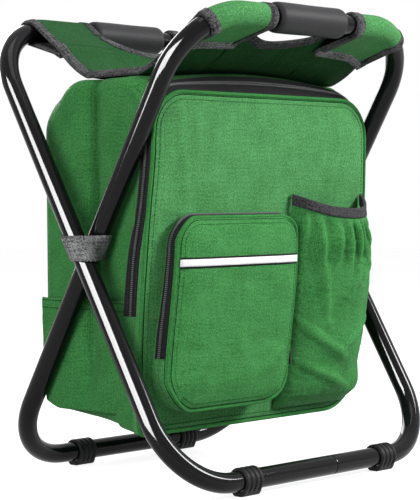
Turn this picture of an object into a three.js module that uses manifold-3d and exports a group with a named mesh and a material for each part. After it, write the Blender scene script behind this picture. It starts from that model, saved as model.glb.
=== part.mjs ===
// Folding cooler stool: two crossed tube hoops, a sling seat and an insulated bag hung between them.
// Millimetres, +Z up, floor at z = 0, +X along the pivot axis, the front of the stool towards -Y.
import * as THREE from 'three';
import { mergeVertices } from 'three/addons/utils/BufferGeometryUtils.js';
import Module from 'manifold-3d';

const wasm = await Module();
wasm.setup();
const DEG = Math.PI / 180;

// Clearances
const FIT_GAP = 0.3;
const HOLE_CLEARANCE = 0.3;
const BAG_SIDE_CLEARANCE = 2.5;
const STRAP_CLEARANCE = 0.8;
const SEAT_FOLD_GAP = 1.6;
const CREASE_GAP = 0.9;

// Frame tube and the two hoops
const TUBE_D = 19;
const TUBE_WALL = 1;
const CORNER_R = 70;
const INNER_HALF_WIDTH = 163.5;
const LEG_ABOVE_PIVOT = 243.6;
const LEG_BELOW_PIVOT = 249.2;
const LEG_TILT = 30.7 * DEG;
const SEAM_X = 23;
const SEAM_GAP = 0.4;
const PLUG_LENGTH = 60;

// Pivot rivets and washers
const RIVET_D = 6;
const RIVET_HEAD_D = 13;
const RIVET_HEAD_T = 1.6;
const RIVET_DOME_D = 9.4;
const WASHER_D = 16;
const WASHER_T = 1.4;

// Feet on the bottom bars
const FOOT_LENGTH = 24;
const FOOT_R = 12.4;
const FOOT_RIB_H = 1;
const FOOT_RIB_COUNT = 4;
const FOOT_RIB_LENGTH = 3.6;
const FOOT_SOLE = 4.5;
const FOOT_SOLE_HALF_DEPTH = 9;
const FOOT_ARC_START = -35 * DEG;
const FRONT_FEET_X = [-96, 101];
const REAR_FEET_X = [-68, 80];

// Foam grips on the top bars
const GRIP_D = 29;
const GRIP_LENGTH = 94;
const GRIP_CENTRE_X = -5;
const GRIP_EDGE_R = 3;

// Sling seat
const CLOTH_T = 2;
const SEAT_HALF_WIDTH = 139;
const SEAT_FLAT_HALF_DEPTH = 38;
const SLOPE_LENGTH = 68;
const SLOPE_CORNER_WIDTH = 28;
const SLOPE_CORNER_DEPTH = 26;
const CUTOUT_HALF_WIDTH = 58;
const CUTOUT_DEPTH = 16;
const LOOP_WALL = 1.7;
const LOOP_INNER_X = 60;
const LOOP_BEND_ANGLE = 32 * DEG;
const LOOP_CUT_OVERRUN = 30 * DEG;
const LOOP_TAIL_REACH = 30;
const LOOP_TAIL_T = 2;

// Bag body
const BAG_TOP_ABOVE_PIVOT = 152;
const BAG_HEIGHT = 324;
const BAG_FRONT_Y = -65;
const BAG_DEPTH = 149;
const BAG_CORNER_R = 38;
const BAG_BOTTOM_CORNER_R = 12;
const FABRIC_T = 2;
const FOAM_T = 5;
const LINER_T = 0.6;
const CREASE_Y = 15;
const CREASE_DEPTH = 9;

// Front flap and its zip
const FLAP_HEIGHT = 100;
const ZIP_HALF_WIDTH = 4.8;
const ZIP_TAPE_T = 1.5;
const ZIP_RUN_BELOW_FLAP = 117;
const PIPING_D = 3;
const PIPING_HINGE_CLEARANCE = 4;
const SLIDER_LENGTH = 11;
const SLIDER_WIDTH = 8;
const SLIDER_T = 3;
const PULL_LENGTH = 22;
const PULL_WIDTH = 6;
const PULL_T = 1.4;
const PULL_GAP = 0.9;

// Zipped front pocket
const POCKET_LEFT_X = -144;
const POCKET_WIDTH = 166;
const POCKET_TOP_BELOW_FLAP = 27;
const POCKET_HEIGHT = 179;
const POCKET_DEPTH = 17;
const POCKET_CORNER_R = 24;
const POCKET_BASE_HEIGHT = 50;
const POCKET_GUSSET_DEPTH = 7;
const STRIP_HEIGHT = 12;
const STRIP_T = 0.8;
const STRIP_BELOW_POCKET_TOP = 41;

// Open bottle pocket
const BOTTLE_GAP = 9;
const BOTTLE_DEPTH = 35;
const BOTTLE_HEIGHT = 202;
const BOTTLE_CORNER_R = 22;
const BOTTLE_BOTTOM_RISE = 10;
const BINDING_HEIGHT = 11;
const BINDING_T = 1.6;

// Flat side pouches and the straps round the pivots
const POUCH_FRONT_Y = -25;
const POUCH_REAR_INSET = 6;
const POUCH_BELOW_PIVOT = 52;
const POUCH_BOTTOM_RISE = 12;
const POUCH_CLOTH_T = 1.4;
const STRAP_HEIGHT = 23;
const STRAP_T = 1.6;
const STRAP_DROP = 2.5;

// Facets
const TUBE_SIDES = 16;
const SMALL_SIDES = 12;
const PIPING_SIDES = 6;
const CORNER_STEPS = 8;
const ARC_STEPS = 6;

// Places worked out from the sizes above
const TUBE_R = TUBE_D / 2;
const OUTER_HALF_WIDTH = INNER_HALF_WIDTH + TUBE_D + WASHER_T + 2 * FIT_GAP;
const PIVOT_Z = FOOT_SOLE + TUBE_R + LEG_BELOW_PIVOT * Math.cos(LEG_TILT);
const TOP_BAR_Y = LEG_ABOVE_PIVOT * Math.sin(LEG_TILT);
const TOP_BAR_Z = PIVOT_Z + LEG_ABOVE_PIVOT * Math.cos(LEG_TILT);
const BASE_BAR_Y = LEG_BELOW_PIVOT * Math.sin(LEG_TILT);
const BASE_BAR_Z = FOOT_SOLE + TUBE_R;
const BAG_HALF_WIDTH = INNER_HALF_WIDTH - TUBE_R - BAG_SIDE_CLEARANCE;
const BAG_TOP_Z = PIVOT_Z + BAG_TOP_ABOVE_PIVOT;
const BAG_BOTTOM_Z = BAG_TOP_Z - BAG_HEIGHT;
const BAG_REAR_Y = BAG_FRONT_Y + BAG_DEPTH;
const SHOULDER_Z = BAG_TOP_Z - BAG_CORNER_R;
const FRONT_INNER_Y = BAG_FRONT_Y + FABRIC_T;
const BACK_INNER_Y = BAG_REAR_Y - FABRIC_T;
const ZIP_FRONT_Y = FRONT_INNER_Y + FIT_GAP;
const ZIP_MIDDLE_Y = ZIP_FRONT_Y + ZIP_HALF_WIDTH;
const ZIP_REAR_Y = ZIP_MIDDLE_Y + FIT_GAP + ZIP_HALF_WIDTH;
const GUSSET_FRONT_Y = ZIP_REAR_Y + FIT_GAP;
const GUSSET_REAR_Y = BACK_INNER_Y - FIT_GAP;
const FLAP_Z = BAG_TOP_Z - FLAP_HEIGHT;
const ZIP_END_Z = FLAP_Z - ZIP_RUN_BELOW_FLAP;
const SEAT_Z = BAG_TOP_Z + FIT_GAP + CLOTH_T / 2;
const SLOPE_ANGLE = Math.atan2(TOP_BAR_Z - SEAT_Z, TOP_BAR_Y - SEAT_FLAT_HALF_DEPTH);
const POCKET_TOP_Z = FLAP_Z - POCKET_TOP_BELOW_FLAP;
const POCKET_BOTTOM_Z = POCKET_TOP_Z - POCKET_HEIGHT;
const POCKET_HINGE_Z = POCKET_BOTTOM_Z + POCKET_BASE_HEIGHT;
const POCKET_RIGHT_X = POCKET_LEFT_X + POCKET_WIDTH;
const POCKET_REAR_Y = BAG_FRONT_Y - FIT_GAP;
const POCKET_FRONT_Y = BAG_FRONT_Y - POCKET_DEPTH;
const POCKET_SPLIT_Y = POCKET_REAR_Y - POCKET_GUSSET_DEPTH;
const BOTTLE_LEFT_X = POCKET_RIGHT_X + BOTTLE_GAP;
const BOTTLE_RIGHT_X = BAG_HALF_WIDTH - PIPING_D - BINDING_T - 2 * FIT_GAP;
const BOTTLE_BOTTOM_Z = BAG_BOTTOM_Z + BOTTLE_BOTTOM_RISE;
const BOTTLE_TOP_Z = BOTTLE_BOTTOM_Z + BOTTLE_HEIGHT;
const BOTTLE_FRONT_Y = BAG_FRONT_Y - BOTTLE_DEPTH;

const look = (color, roughness, metalness = 0) => ({ color, roughness, metalness });
const LOOKS = {
  paint: look(0x121314, 0.28, 0.4),
  steel: look(0x2a2b2c, 0.4, 0.8),
  nylon: look(0x1a1a1b, 0.55),
  rubber: look(0x1c1c1d, 0.7),
  grip: look(0x3a3b3d, 0.8),
  cloth: look(0x1f7a35, 0.85),
  binding: look(0x3b3a3d, 0.9),
  zip: look(0x2d2b2f, 0.7),
  foam: look(0xe6e6e2, 0.9),
  liner: look(0xc8ccd0, 0.35, 0.3),
  reflective: look(0xd8d8da, 0.4),
};

const model = new THREE.Group();

function addPiece(name, looks, geometry, parent = model) {
  const mesh = new THREE.Mesh(geometry, new THREE.MeshStandardMaterial(LOOKS[looks]));
  mesh.name = name;
  parent.add(mesh);
  return mesh;
}

// Closed meshes become solids that can be joined and cut
function solid(geometry) {
  const bare = geometry.clone();
  bare.deleteAttribute('normal');
  bare.deleteAttribute('uv');
  const merged = mergeVertices(bare, 1e-4);
  return new wasm.Manifold(new wasm.Mesh({
    numProp: 3,
    vertProperties: new Float32Array(merged.attributes.position.array),
    triVerts: new Uint32Array(merged.index.array),
  }));
}

function geometryOf(manifold) {
  const mesh = manifold.getMesh();
  const geometry = new THREE.BufferGeometry();
  geometry.setAttribute('position', new THREE.BufferAttribute(mesh.vertProperties, 3));
  geometry.setIndex(new THREE.BufferAttribute(mesh.triVerts, 1));
  return geometry;
}

function cut(body, ...tools) {
  return geometryOf(tools.reduce((rest, tool) => rest.subtract(solid(tool)), solid(body)));
}

function join(...bodies) {
  return geometryOf(bodies.map(solid).reduce((whole, next) => whole.add(next)));
}

// A flat outline pushed along one axis: (y, z) along x, (x, z) along y, (x, y) along z
function prism(shape, axis, from, to) {
  const options = { depth: to - from, bevelEnabled: false, curveSegments: ARC_STEPS };
  const geometry = new THREE.ExtrudeGeometry(shape, options);
  const [x, y, z] = [[1, 0, 0], [0, 1, 0], [0, 0, 1]].map((v) => new THREE.Vector3(...v));
  const turns = {
    x: new THREE.Matrix4().makeBasis(y, z, x).setPosition(from, 0, 0),
    y: new THREE.Matrix4().makeBasis(x, z, y.clone().negate()).setPosition(0, to, 0),
    z: new THREE.Matrix4().setPosition(0, 0, from),
  };
  return geometry.applyMatrix4(turns[axis]);
}

const polygon = (points) => new THREE.Shape(points.map(([u, v]) => new THREE.Vector2(u, v)));

function block(x0, x1, y0, y1, z0, z1) {
  return prism(polygon([[x0, y0], [x1, y0], [x1, y1], [x0, y1]]), 'z', z0, z1);
}

function roundedRect(x0, z0, x1, z1, bottomR, topR) {
  const shape = new THREE.Shape();
  shape.moveTo(x0 + bottomR, z0);
  shape.lineTo(x1 - bottomR, z0);
  if (bottomR > 0) shape.absarc(x1 - bottomR, z0 + bottomR, bottomR, -Math.PI / 2, 0);
  shape.lineTo(x1, z1 - topR);
  if (topR > 0) shape.absarc(x1 - topR, z1 - topR, topR, 0, Math.PI / 2);
  shape.lineTo(x0 + topR, z1);
  if (topR > 0) shape.absarc(x0 + topR, z1 - topR, topR, Math.PI / 2, Math.PI);
  shape.lineTo(x0, z0 + bottomR);
  if (bottomR > 0) shape.absarc(x0 + bottomR, z0 + bottomR, bottomR, Math.PI, Math.PI * 1.5);
  return shape;
}

// A band of cloth that runs up one side, round two corners and down the other side
function arch(x0, x1, bottom, top, radius, thickness) {
  const shape = new THREE.Shape();
  const inner = radius - thickness;
  shape.moveTo(x0 + thickness, bottom);
  shape.lineTo(x0 + thickness, top - radius);
  shape.absarc(x0 + radius, top - radius, inner, Math.PI, Math.PI / 2, true);
  shape.lineTo(x1 - radius, top - thickness);
  shape.absarc(x1 - radius, top - radius, inner, Math.PI / 2, 0, true);
  shape.lineTo(x1 - thickness, bottom);
  shape.lineTo(x1, bottom);
  shape.lineTo(x1, top - radius);
  shape.absarc(x1 - radius, top - radius, radius, 0, Math.PI / 2);
  shape.lineTo(x0 + radius, top);
  shape.absarc(x0 + radius, top - radius, radius, Math.PI / 2, Math.PI);
  shape.lineTo(x0, bottom);
  return shape;
}

// Points of an arc in the XZ plane, each with its outward direction
function arc(cx, cz, radius, start, end, steps) {
  return Array.from({ length: steps + 1 }, (_, i) => {
    const angle = start + (end - start) * i / steps;
    const [nx, nz] = [Math.cos(angle), Math.sin(angle)];
    return { x: cx + radius * nx, z: cz + radius * nz, nx, nz };
  });
}

// A round tube along a path in the XZ plane, closed on itself or capped at its two ends
function sweep(path, radius, sides, closed, y = 0) {
  const points = [];
  const faces = [];
  path.forEach(({ x, z, nx, nz }) => {
    for (let k = 0; k < sides; k += 1) {
      const turn = 2 * Math.PI * k / sides;
      const reach = radius * Math.cos(turn);
      points.push(x + reach * nx, y + radius * Math.sin(turn), z + reach * nz);
    }
  });
  const rings = path.length;
  for (let i = 0; i < (closed ? rings : rings - 1); i += 1) {
    for (let k = 0; k < sides; k += 1) {
      const [a, b] = [i * sides + k, i * sides + (k + 1) % sides];
      const [c, d] = [((i + 1) % rings) * sides + k, ((i + 1) % rings) * sides + (k + 1) % sides];
      faces.push(a, b, d, a, d, c);
    }
  }
  if (!closed) {
    const last = (rings - 1) * sides;
    for (let k = 1; k < sides - 1; k += 1) {
      faces.push(0, k + 1, k);
      faces.push(last, last + k, last + k + 1);
    }
  }
  return outward(points, faces);
}

// Turns the faces so that they look out of the body
function outward(points, faces) {
  const at = (i) => new THREE.Vector3().fromArray(points, 3 * i);
  let volume = 0;
  for (let i = 0; i < faces.length; i += 3) {
    volume += at(faces[i]).dot(at(faces[i + 1]).cross(at(faces[i + 2])));
  }
  const geometry = new THREE.BufferGeometry();
  geometry.setAttribute('position', new THREE.Float32BufferAttribute(points, 3));
  geometry.setIndex(volume < 0 ? faces.slice().reverse() : faces);
  return geometry;
}

// Flat outlines of equal point counts, stacked at rising heights. Each side face is split from its
// lower point with the smaller y, so that walls lying against each other bend alike.
function loft(layers) {
  const count = layers[0].outline.length;
  const points = layers.flatMap(({ z, outline }) => outline.flatMap(([x, y]) => [x, y, z]));
  const faces = [];
  for (let i = 0; i < layers.length - 1; i += 1) {
    for (let k = 0; k < count; k += 1) {
      const [a, b] = [i * count + k, i * count + (k + 1) % count];
      const rising = points[3 * a + 1] <= points[3 * b + 1];
      if (rising) faces.push(a, b, b + count, a, b + count, a + count);
      else faces.push(a, b, a + count, b, b + count, a + count);
    }
  }
  const top = (layers.length - 1) * count;
  const flat = layers[0].outline.map(([x, y]) => new THREE.Vector2(x, y));
  const positive = THREE.ShapeUtils.isClockWise(flat) ? -1 : 1;
  THREE.ShapeUtils.triangulateShape(flat, []).forEach(([a, b, c]) => {
    const [p, q] = positive > 0 ? [b, c] : [c, b];
    faces.push(a, q, p, top + a, top + p, top + q);
  });
  return outward(points, faces);
}

// A cylinder along X whose flats clear a round of the given radius
function barX(radius, sides, x0, x1, y = 0, z = 0) {
  const geometry = new THREE.CylinderGeometry(radius, radius, x1 - x0, sides);
  return geometry.rotateZ(Math.PI / 2).translate((x0 + x1) / 2, y, z);
}

const clearRadius = (radius, sides) => radius / Math.cos(Math.PI / sides);

// A body turned round the X axis, given as (x, radius) points that start and end on the axis
function turnedX(profile, sides) {
  const points = profile.map(([x, r]) => new THREE.Vector2(r, x));
  return new THREE.LatheGeometry(points, sides).rotateZ(-Math.PI / 2);
}

// The hoops, each in its own plane: local Z runs up the legs, the pivot is the local origin
const outerHoop = new THREE.Group();
outerHoop.position.z = PIVOT_Z;
outerHoop.rotation.x = -LEG_TILT;
const innerHoop = new THREE.Group();
innerHoop.position.z = PIVOT_Z;
innerHoop.rotation.x = LEG_TILT;
model.add(outerHoop, innerHoop);

function hoopPath(halfWidth) {
  const [cx, top, base] = [halfWidth - CORNER_R, LEG_ABOVE_PIVOT - CORNER_R, CORNER_R - LEG_BELOW_PIVOT];
  const quarter = Math.PI / 2;
  return [
    ...arc(cx, top, CORNER_R, 0, quarter, CORNER_STEPS),
    ...arc(-cx, top, CORNER_R, quarter, 2 * quarter, CORNER_STEPS),
    ...arc(-cx, base, CORNER_R, 2 * quarter, 3 * quarter, CORNER_STEPS),
    ...arc(cx, base, CORNER_R, 3 * quarter, 4 * quarter, CORNER_STEPS),
  ];
}

// One bent tube, its two ends meeting in the bottom bar, drilled through both legs for the rivets
function hoopTube(halfWidth) {
  const path = hoopPath(halfWidth);
  const wide = 2 * halfWidth;
  const drill = barX(clearRadius(RIVET_D / 2 + HOLE_CLEARANCE, SMALL_SIDES), SMALL_SIDES, -wide, wide);
  const reach = TUBE_D;
  const seam = block(
    SEAM_X - SEAM_GAP / 2, SEAM_X + SEAM_GAP / 2, -reach, reach,
    -LEG_BELOW_PIVOT - reach, -LEG_BELOW_PIVOT + reach,
  );
  const bore = sweep(path, TUBE_R - TUBE_WALL, TUBE_SIDES, true);
  return cut(sweep(path, TUBE_R, TUBE_SIDES, true), bore, drill, seam);
}

function jointPlug() {
  const radius = TUBE_R - TUBE_WALL - FIT_GAP;
  return barX(radius, TUBE_SIDES, SEAM_X - PLUG_LENGTH / 2, SEAM_X + PLUG_LENGTH / 2, 0, -LEG_BELOW_PIVOT);
}

function grip() {
  const [outer, half] = [GRIP_D / 2, GRIP_LENGTH / 2];
  const bore = barX(clearRadius(TUBE_R + FIT_GAP, TUBE_SIDES), TUBE_SIDES, -GRIP_LENGTH, GRIP_LENGTH);
  const body = turnedX([
    [-half, 0],
    [-half, outer - GRIP_EDGE_R],
    [-half + GRIP_EDGE_R, outer],
    [half - GRIP_EDGE_R, outer],
    [half, outer - GRIP_EDGE_R],
    [half, 0],
  ], TUBE_SIDES);
  return cut(body, bore).translate(GRIP_CENTRE_X, 0, LEG_ABOVE_PIVOT);
}

addPiece('outer_hoop_tube', 'paint', hoopTube(OUTER_HALF_WIDTH), outerHoop);
addPiece('outer_joint_plug', 'steel', jointPlug(), outerHoop);
addPiece('rear_grip', 'grip', grip(), outerHoop);
addPiece('inner_hoop_tube', 'paint', hoopTube(INNER_HALF_WIDTH), innerHoop);
addPiece('inner_joint_plug', 'steel', jointPlug(), innerHoop);
addPiece('front_grip', 'grip', grip(), innerHoop);

// Pivot rivets through both legs, with a washer between the hoops
function pivotRivet(side) {
  const outerFace = OUTER_HALF_WIDTH + TUBE_R + FIT_GAP;
  const innerFace = INNER_HALF_WIDTH - TUBE_R - FIT_GAP;
  const profile = [
    [innerFace - RIVET_HEAD_T, 0],
    [innerFace - RIVET_HEAD_T, RIVET_DOME_D / 2],
    [innerFace, RIVET_HEAD_D / 2],
    [innerFace, RIVET_D / 2],
    [outerFace, RIVET_D / 2],
    [outerFace, RIVET_HEAD_D / 2],
    [outerFace + RIVET_HEAD_T, RIVET_DOME_D / 2],
    [outerFace + RIVET_HEAD_T, 0],
  ];
  const rivet = turnedX(profile, SMALL_SIDES);
  return side < 0 ? rivet.rotateZ(Math.PI) : rivet;
}

function pivotWasher(side) {
  const start = INNER_HALF_WIDTH + TUBE_R + FIT_GAP;
  const hole = clearRadius(RIVET_D / 2 + HOLE_CLEARANCE, SMALL_SIDES);
  const ring = cut(
    barX(WASHER_D / 2, SMALL_SIDES, start, start + WASHER_T),
    barX(hole, SMALL_SIDES, start - WASHER_T, start + 2 * WASHER_T),
  );
  return side < 0 ? ring.rotateZ(Math.PI) : ring;
}

for (const [word, side] of [['left', -1], ['right', 1]]) {
  addPiece(`${word}_pivot_rivet`, 'steel', pivotRivet(side), outerHoop);
  addPiece(`${word}_pivot_washer`, 'nylon', pivotWasher(side), outerHoop);
}

// Ribbed rubber feet, flat below
function footOutline(radius) {
  const round = arc(0, BASE_BAR_Z, radius, FOOT_ARC_START, Math.PI - FOOT_ARC_START, SMALL_SIDES);
  return polygon([[-FOOT_SOLE_HALF_DEPTH, 0], [FOOT_SOLE_HALF_DEPTH, 0], ...round.map(({ x, z }) => [x, z])]);
}

function foot() {
  const half = FOOT_LENGTH / 2;
  const pitch = (FOOT_LENGTH - FOOT_RIB_LENGTH) / (FOOT_RIB_COUNT - 1);
  const ribs = Array.from({ length: FOOT_RIB_COUNT }, (_, i) => {
    const start = -half + i * pitch;
    return prism(footOutline(FOOT_R), 'x', start, start + FOOT_RIB_LENGTH);
  });
  const coreHalf = half - FOOT_RIB_LENGTH / 2;
  const core = prism(footOutline(FOOT_R - FOOT_RIB_H), 'x', -coreHalf, coreHalf);
  const bore = clearRadius(TUBE_R + FIT_GAP, TUBE_SIDES);
  return cut(join(core, ...ribs), barX(bore, TUBE_SIDES, -FOOT_LENGTH, FOOT_LENGTH, 0, BASE_BAR_Z));
}

for (const [row, feet, y] of [['front', FRONT_FEET_X, -BASE_BAR_Y], ['rear', REAR_FEET_X, BASE_BAR_Y]]) {
  feet.forEach((x, i) => {
    addPiece(`${row}_${i ? 'right' : 'left'}_foot`, 'rubber', foot()).position.set(x, y, 0);
  });
}

// Seat loops: sleeves round the top bars that follow the bend, each with a tail sewn to the slope
function seatLoop(halfWidth, side, facing) {
  const [cx, cz] = [halfWidth - CORNER_R, LEG_ABOVE_PIVOT - CORNER_R];
  const quarter = Math.PI / 2;
  const path = [
    { x: LOOP_INNER_X, z: LEG_ABOVE_PIVOT, nx: 0, nz: 1 },
    ...arc(cx, cz, CORNER_R, quarter, quarter - LOOP_BEND_ANGLE, ARC_STEPS),
  ];
  const past = [
    { x: LOOP_INNER_X - TUBE_D, z: LEG_ABOVE_PIVOT, nx: 0, nz: 1 },
    ...arc(cx, cz, CORNER_R, quarter, quarter - LOOP_BEND_ANGLE - LOOP_CUT_OVERRUN, CORNER_STEPS),
  ];
  const sleeveInner = clearRadius(TUBE_R + FIT_GAP, TUBE_SIDES);
  const sleeveOuter = sleeveInner + LOOP_WALL;
  const tailBottom = CLOTH_T / 2 + FIT_GAP;
  const tailTop = tailBottom + LOOP_TAIL_T;
  const tail = block(LOOP_INNER_X, cx, 0, LOOP_TAIL_REACH, tailBottom, tailTop);
  const lean = facing < 0 ? LEG_TILT + SLOPE_ANGLE : Math.PI - LEG_TILT - SLOPE_ANGLE;
  if (facing > 0) tail.translate(0, 0, -tailBottom - tailTop);
  tail.rotateX(-lean).translate(0, 0, LEG_ABOVE_PIVOT);
  const loop = cut(
    join(sweep(path, sleeveOuter, TUBE_SIDES, false), tail),
    sweep(past, sleeveInner, TUBE_SIDES, false),
  );
  return side < 0 ? mirrorX(loop) : loop;
}

function mirrorX(geometry) {
  const mirrored = geometry.clone().scale(-1, 1, 1);
  return outward(Array.from(mirrored.attributes.position.array), Array.from(mirrored.index.array));
}

for (const [word, side] of [['left', -1], ['right', 1]]) {
  addPiece(`front_${word}_seat_loop`, 'cloth', seatLoop(INNER_HALF_WIDTH, side, -1), innerHoop);
  addPiece(`rear_${word}_seat_loop`, 'cloth', seatLoop(OUTER_HALF_WIDTH, side, 1), outerHoop);
}

// Sling seat: a flat middle sewn to the bag and two slopes with a hand cut-out at each grip
function seatSlope() {
  const shape = new THREE.Shape();
  const cutoutR = (CUTOUT_HALF_WIDTH ** 2 + CUTOUT_DEPTH ** 2) / (2 * CUTOUT_DEPTH);
  const spread = Math.asin(CUTOUT_HALF_WIDTH / cutoutR);
  const centre = SLOPE_LENGTH - CUTOUT_DEPTH + cutoutR;
  shape.moveTo(-SEAT_HALF_WIDTH, 0);
  shape.lineTo(SEAT_HALF_WIDTH, 0);
  shape.lineTo(SEAT_HALF_WIDTH, SLOPE_LENGTH - SLOPE_CORNER_DEPTH);
  shape.lineTo(SEAT_HALF_WIDTH - SLOPE_CORNER_WIDTH, SLOPE_LENGTH);
  shape.lineTo(GRIP_CENTRE_X + CUTOUT_HALF_WIDTH, SLOPE_LENGTH);
  shape.absarc(GRIP_CENTRE_X, centre, cutoutR, -Math.PI / 2 + spread, -Math.PI / 2 - spread, true);
  shape.lineTo(SLOPE_CORNER_WIDTH - SEAT_HALF_WIDTH, SLOPE_LENGTH);
  shape.lineTo(-SEAT_HALF_WIDTH, SLOPE_LENGTH - SLOPE_CORNER_DEPTH);
  return prism(shape, 'z', -CLOTH_T / 2, CLOTH_T / 2);
}

const rearSlope = addPiece('seat_rear_slope', 'cloth', seatSlope());
rearSlope.position.set(0, SEAT_FLAT_HALF_DEPTH, SEAT_Z);
rearSlope.rotation.x = SLOPE_ANGLE;
const frontSlope = addPiece('seat_front_slope', 'cloth', seatSlope());
frontSlope.position.set(0, -SEAT_FLAT_HALF_DEPTH, SEAT_Z);
frontSlope.rotation.x = Math.PI - SLOPE_ANGLE;
const flatHalf = SEAT_FLAT_HALF_DEPTH - SEAT_FOLD_GAP;
addPiece('seat_center', 'cloth', block(
  -SEAT_HALF_WIDTH, SEAT_HALF_WIDTH, -flatHalf, flatHalf, SEAT_Z - CLOTH_T / 2, SEAT_Z + CLOTH_T / 2,
));

// Side walls of the bag, drawn in along a crease that is full below the pivot and fades out above it
function wallX(y, z) {
  const fade = Math.max(0, (z - PIVOT_Z) / (SHOULDER_Z - PIVOT_Z));
  const edgeY = y < CREASE_Y ? GUSSET_FRONT_Y : GUSSET_REAR_Y;
  return BAG_HALF_WIDTH - CREASE_DEPTH * (1 - fade) * (y - edgeY) / (CREASE_Y - edgeY);
}

function sideWall(side, inset, thickness, frontY, rearY, bottomZ, topZ) {
  const layers = [bottomZ, PIVOT_Z, topZ].map((z) => {
    const along = [frontY, CREASE_Y, rearY];
    const outer = along.map((y) => [wallX(y, z) - inset, y]);
    const inner = along.map((y) => [wallX(y, z) - inset - thickness, y]).reverse();
    return { z, outline: [...outer, ...inner].map(([x, y]) => [side * x, y]) };
  });
  return loft(layers);
}

const floorTop = BAG_BOTTOM_Z + FABRIC_T + FIT_GAP;
const foamInset = FABRIC_T + FIT_GAP;
const foamRearY = GUSSET_REAR_Y - FOAM_T - FIT_GAP;
const foamFloorTop = floorTop + FOAM_T + FIT_GAP;
for (const [word, side] of [['left', -1], ['right', 1]]) {
  const wallTop = SHOULDER_Z - FIT_GAP;
  const wall = sideWall(side, 0, FABRIC_T, GUSSET_FRONT_Y, GUSSET_REAR_Y, floorTop, wallTop);
  addPiece(`${word}_side_panel`, 'cloth', wall);
  const padInset = FABRIC_T + CREASE_GAP;
  const pad = sideWall(side, padInset, FOAM_T, GUSSET_FRONT_Y, foamRearY, foamFloorTop, wallTop);
  addPiece(`${word}_foam`, 'foam', pad);
}

// Back, top and bottom of the bag
const W = BAG_HALF_WIDTH;
const backShape = roundedRect(-W, BAG_BOTTOM_Z, W, BAG_TOP_Z, BAG_BOTTOM_CORNER_R, BAG_CORNER_R);
addPiece('back_panel', 'cloth', prism(backShape, 'y', BACK_INNER_Y, BAG_REAR_Y));
const topShape = arch(-W, W, SHOULDER_Z, BAG_TOP_Z, BAG_CORNER_R, FABRIC_T);
addPiece('top_panel', 'cloth', prism(topShape, 'y', GUSSET_FRONT_Y, GUSSET_REAR_Y));

function bottomPanel() {
  const patch = (x) => block(x, x + FABRIC_T, ZIP_FRONT_Y, ZIP_REAR_Y, BAG_BOTTOM_Z, ZIP_END_Z - FIT_GAP);
  const floor = block(-W, W, ZIP_FRONT_Y, GUSSET_REAR_Y, BAG_BOTTOM_Z, BAG_BOTTOM_Z + FABRIC_T);
  return join(floor, patch(-W), patch(W - FABRIC_T));
}

addPiece('bottom_panel', 'cloth', bottomPanel());

// Foam boards and the liner tray inside the fabric
const foamHalf = W - CREASE_DEPTH - FABRIC_T - CREASE_GAP - FOAM_T - FIT_GAP;
const foamTopHalf = W - BAG_CORNER_R;
const foamTopZ = BAG_TOP_Z - foamInset;
const foamBackTop = foamTopZ - FOAM_T - FIT_GAP;
addPiece('back_foam', 'foam', block(
  -foamTopHalf, foamTopHalf, GUSSET_REAR_Y - FOAM_T, GUSSET_REAR_Y, floorTop, foamBackTop,
));
addPiece('bottom_foam', 'foam', block(
  -foamHalf, foamHalf, GUSSET_FRONT_Y, foamRearY, floorTop, floorTop + FOAM_T,
));
addPiece('top_foam', 'foam', block(
  -foamTopHalf, foamTopHalf, GUSSET_FRONT_Y, GUSSET_REAR_Y, foamTopZ - FOAM_T, foamTopZ,
));

function linerTray() {
  const [half, top, t] = [foamHalf - FIT_GAP, foamTopZ - FOAM_T - FIT_GAP, LINER_T];
  const [rear, r] = [foamRearY - FIT_GAP, BAG_CORNER_R - FOAM_T];
  const outside = roundedRect(-half, foamFloorTop, half, top, 0, r);
  const inside = roundedRect(-half + t, foamFloorTop + t, half - t, top - t, 0, r - t);
  return cut(
    prism(outside, 'y', GUSSET_FRONT_Y, rear),
    prism(inside, 'y', GUSSET_FRONT_Y - FABRIC_T, rear - t),
  );
}

addPiece('liner_tray', 'liner', linerTray());

// Front of the bag: a fixed lower panel and the zipped flap above it
const lowerFront = roundedRect(-W, BAG_BOTTOM_Z, W, FLAP_Z - FIT_GAP, BAG_BOTTOM_CORNER_R, 0);
addPiece('front_panel', 'cloth', prism(lowerFront, 'y', BAG_FRONT_Y, FRONT_INNER_Y));
const flapFront = roundedRect(-W, FLAP_Z, W, BAG_TOP_Z, 0, BAG_CORNER_R);
addPiece('front_flap', 'cloth', prism(flapFront, 'y', BAG_FRONT_Y, FRONT_INNER_Y));
const boardY = FRONT_INNER_Y + FIT_GAP;
addPiece('front_foam', 'foam', block(
  -foamHalf, foamHalf, boardY, boardY + FOAM_T, floorTop, FLAP_Z - FIT_GAP,
));
const flapBoard = roundedRect(
  -foamHalf, FLAP_Z, foamHalf, foamTopZ - FOAM_T - FIT_GAP, 0, BAG_CORNER_R - FOAM_T,
);
addPiece('flap_foam', 'foam', prism(flapBoard, 'y', boardY, boardY + FOAM_T));

// Main zip: one half of the tape on the bag, the other on the flap and the lower front
const zipShape = (bottom) => arch(-W, W, bottom, BAG_TOP_Z, BAG_CORNER_R, ZIP_TAPE_T);
addPiece('main_zip_bag_tape', 'zip', prism(zipShape(ZIP_END_Z), 'y', ZIP_MIDDLE_Y + FIT_GAP, ZIP_REAR_Y));
addPiece('main_zip_flap_tape', 'zip', prism(zipShape(FLAP_Z), 'y', ZIP_FRONT_Y, ZIP_MIDDLE_Y));
for (const [word, x] of [['left', -W], ['right', W - ZIP_TAPE_T]]) {
  addPiece(`main_zip_${word}_tape`, 'zip', block(
    x, x + ZIP_TAPE_T, ZIP_FRONT_Y, ZIP_MIDDLE_Y, ZIP_END_Z, FLAP_Z - FIT_GAP,
  ));
}

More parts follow.
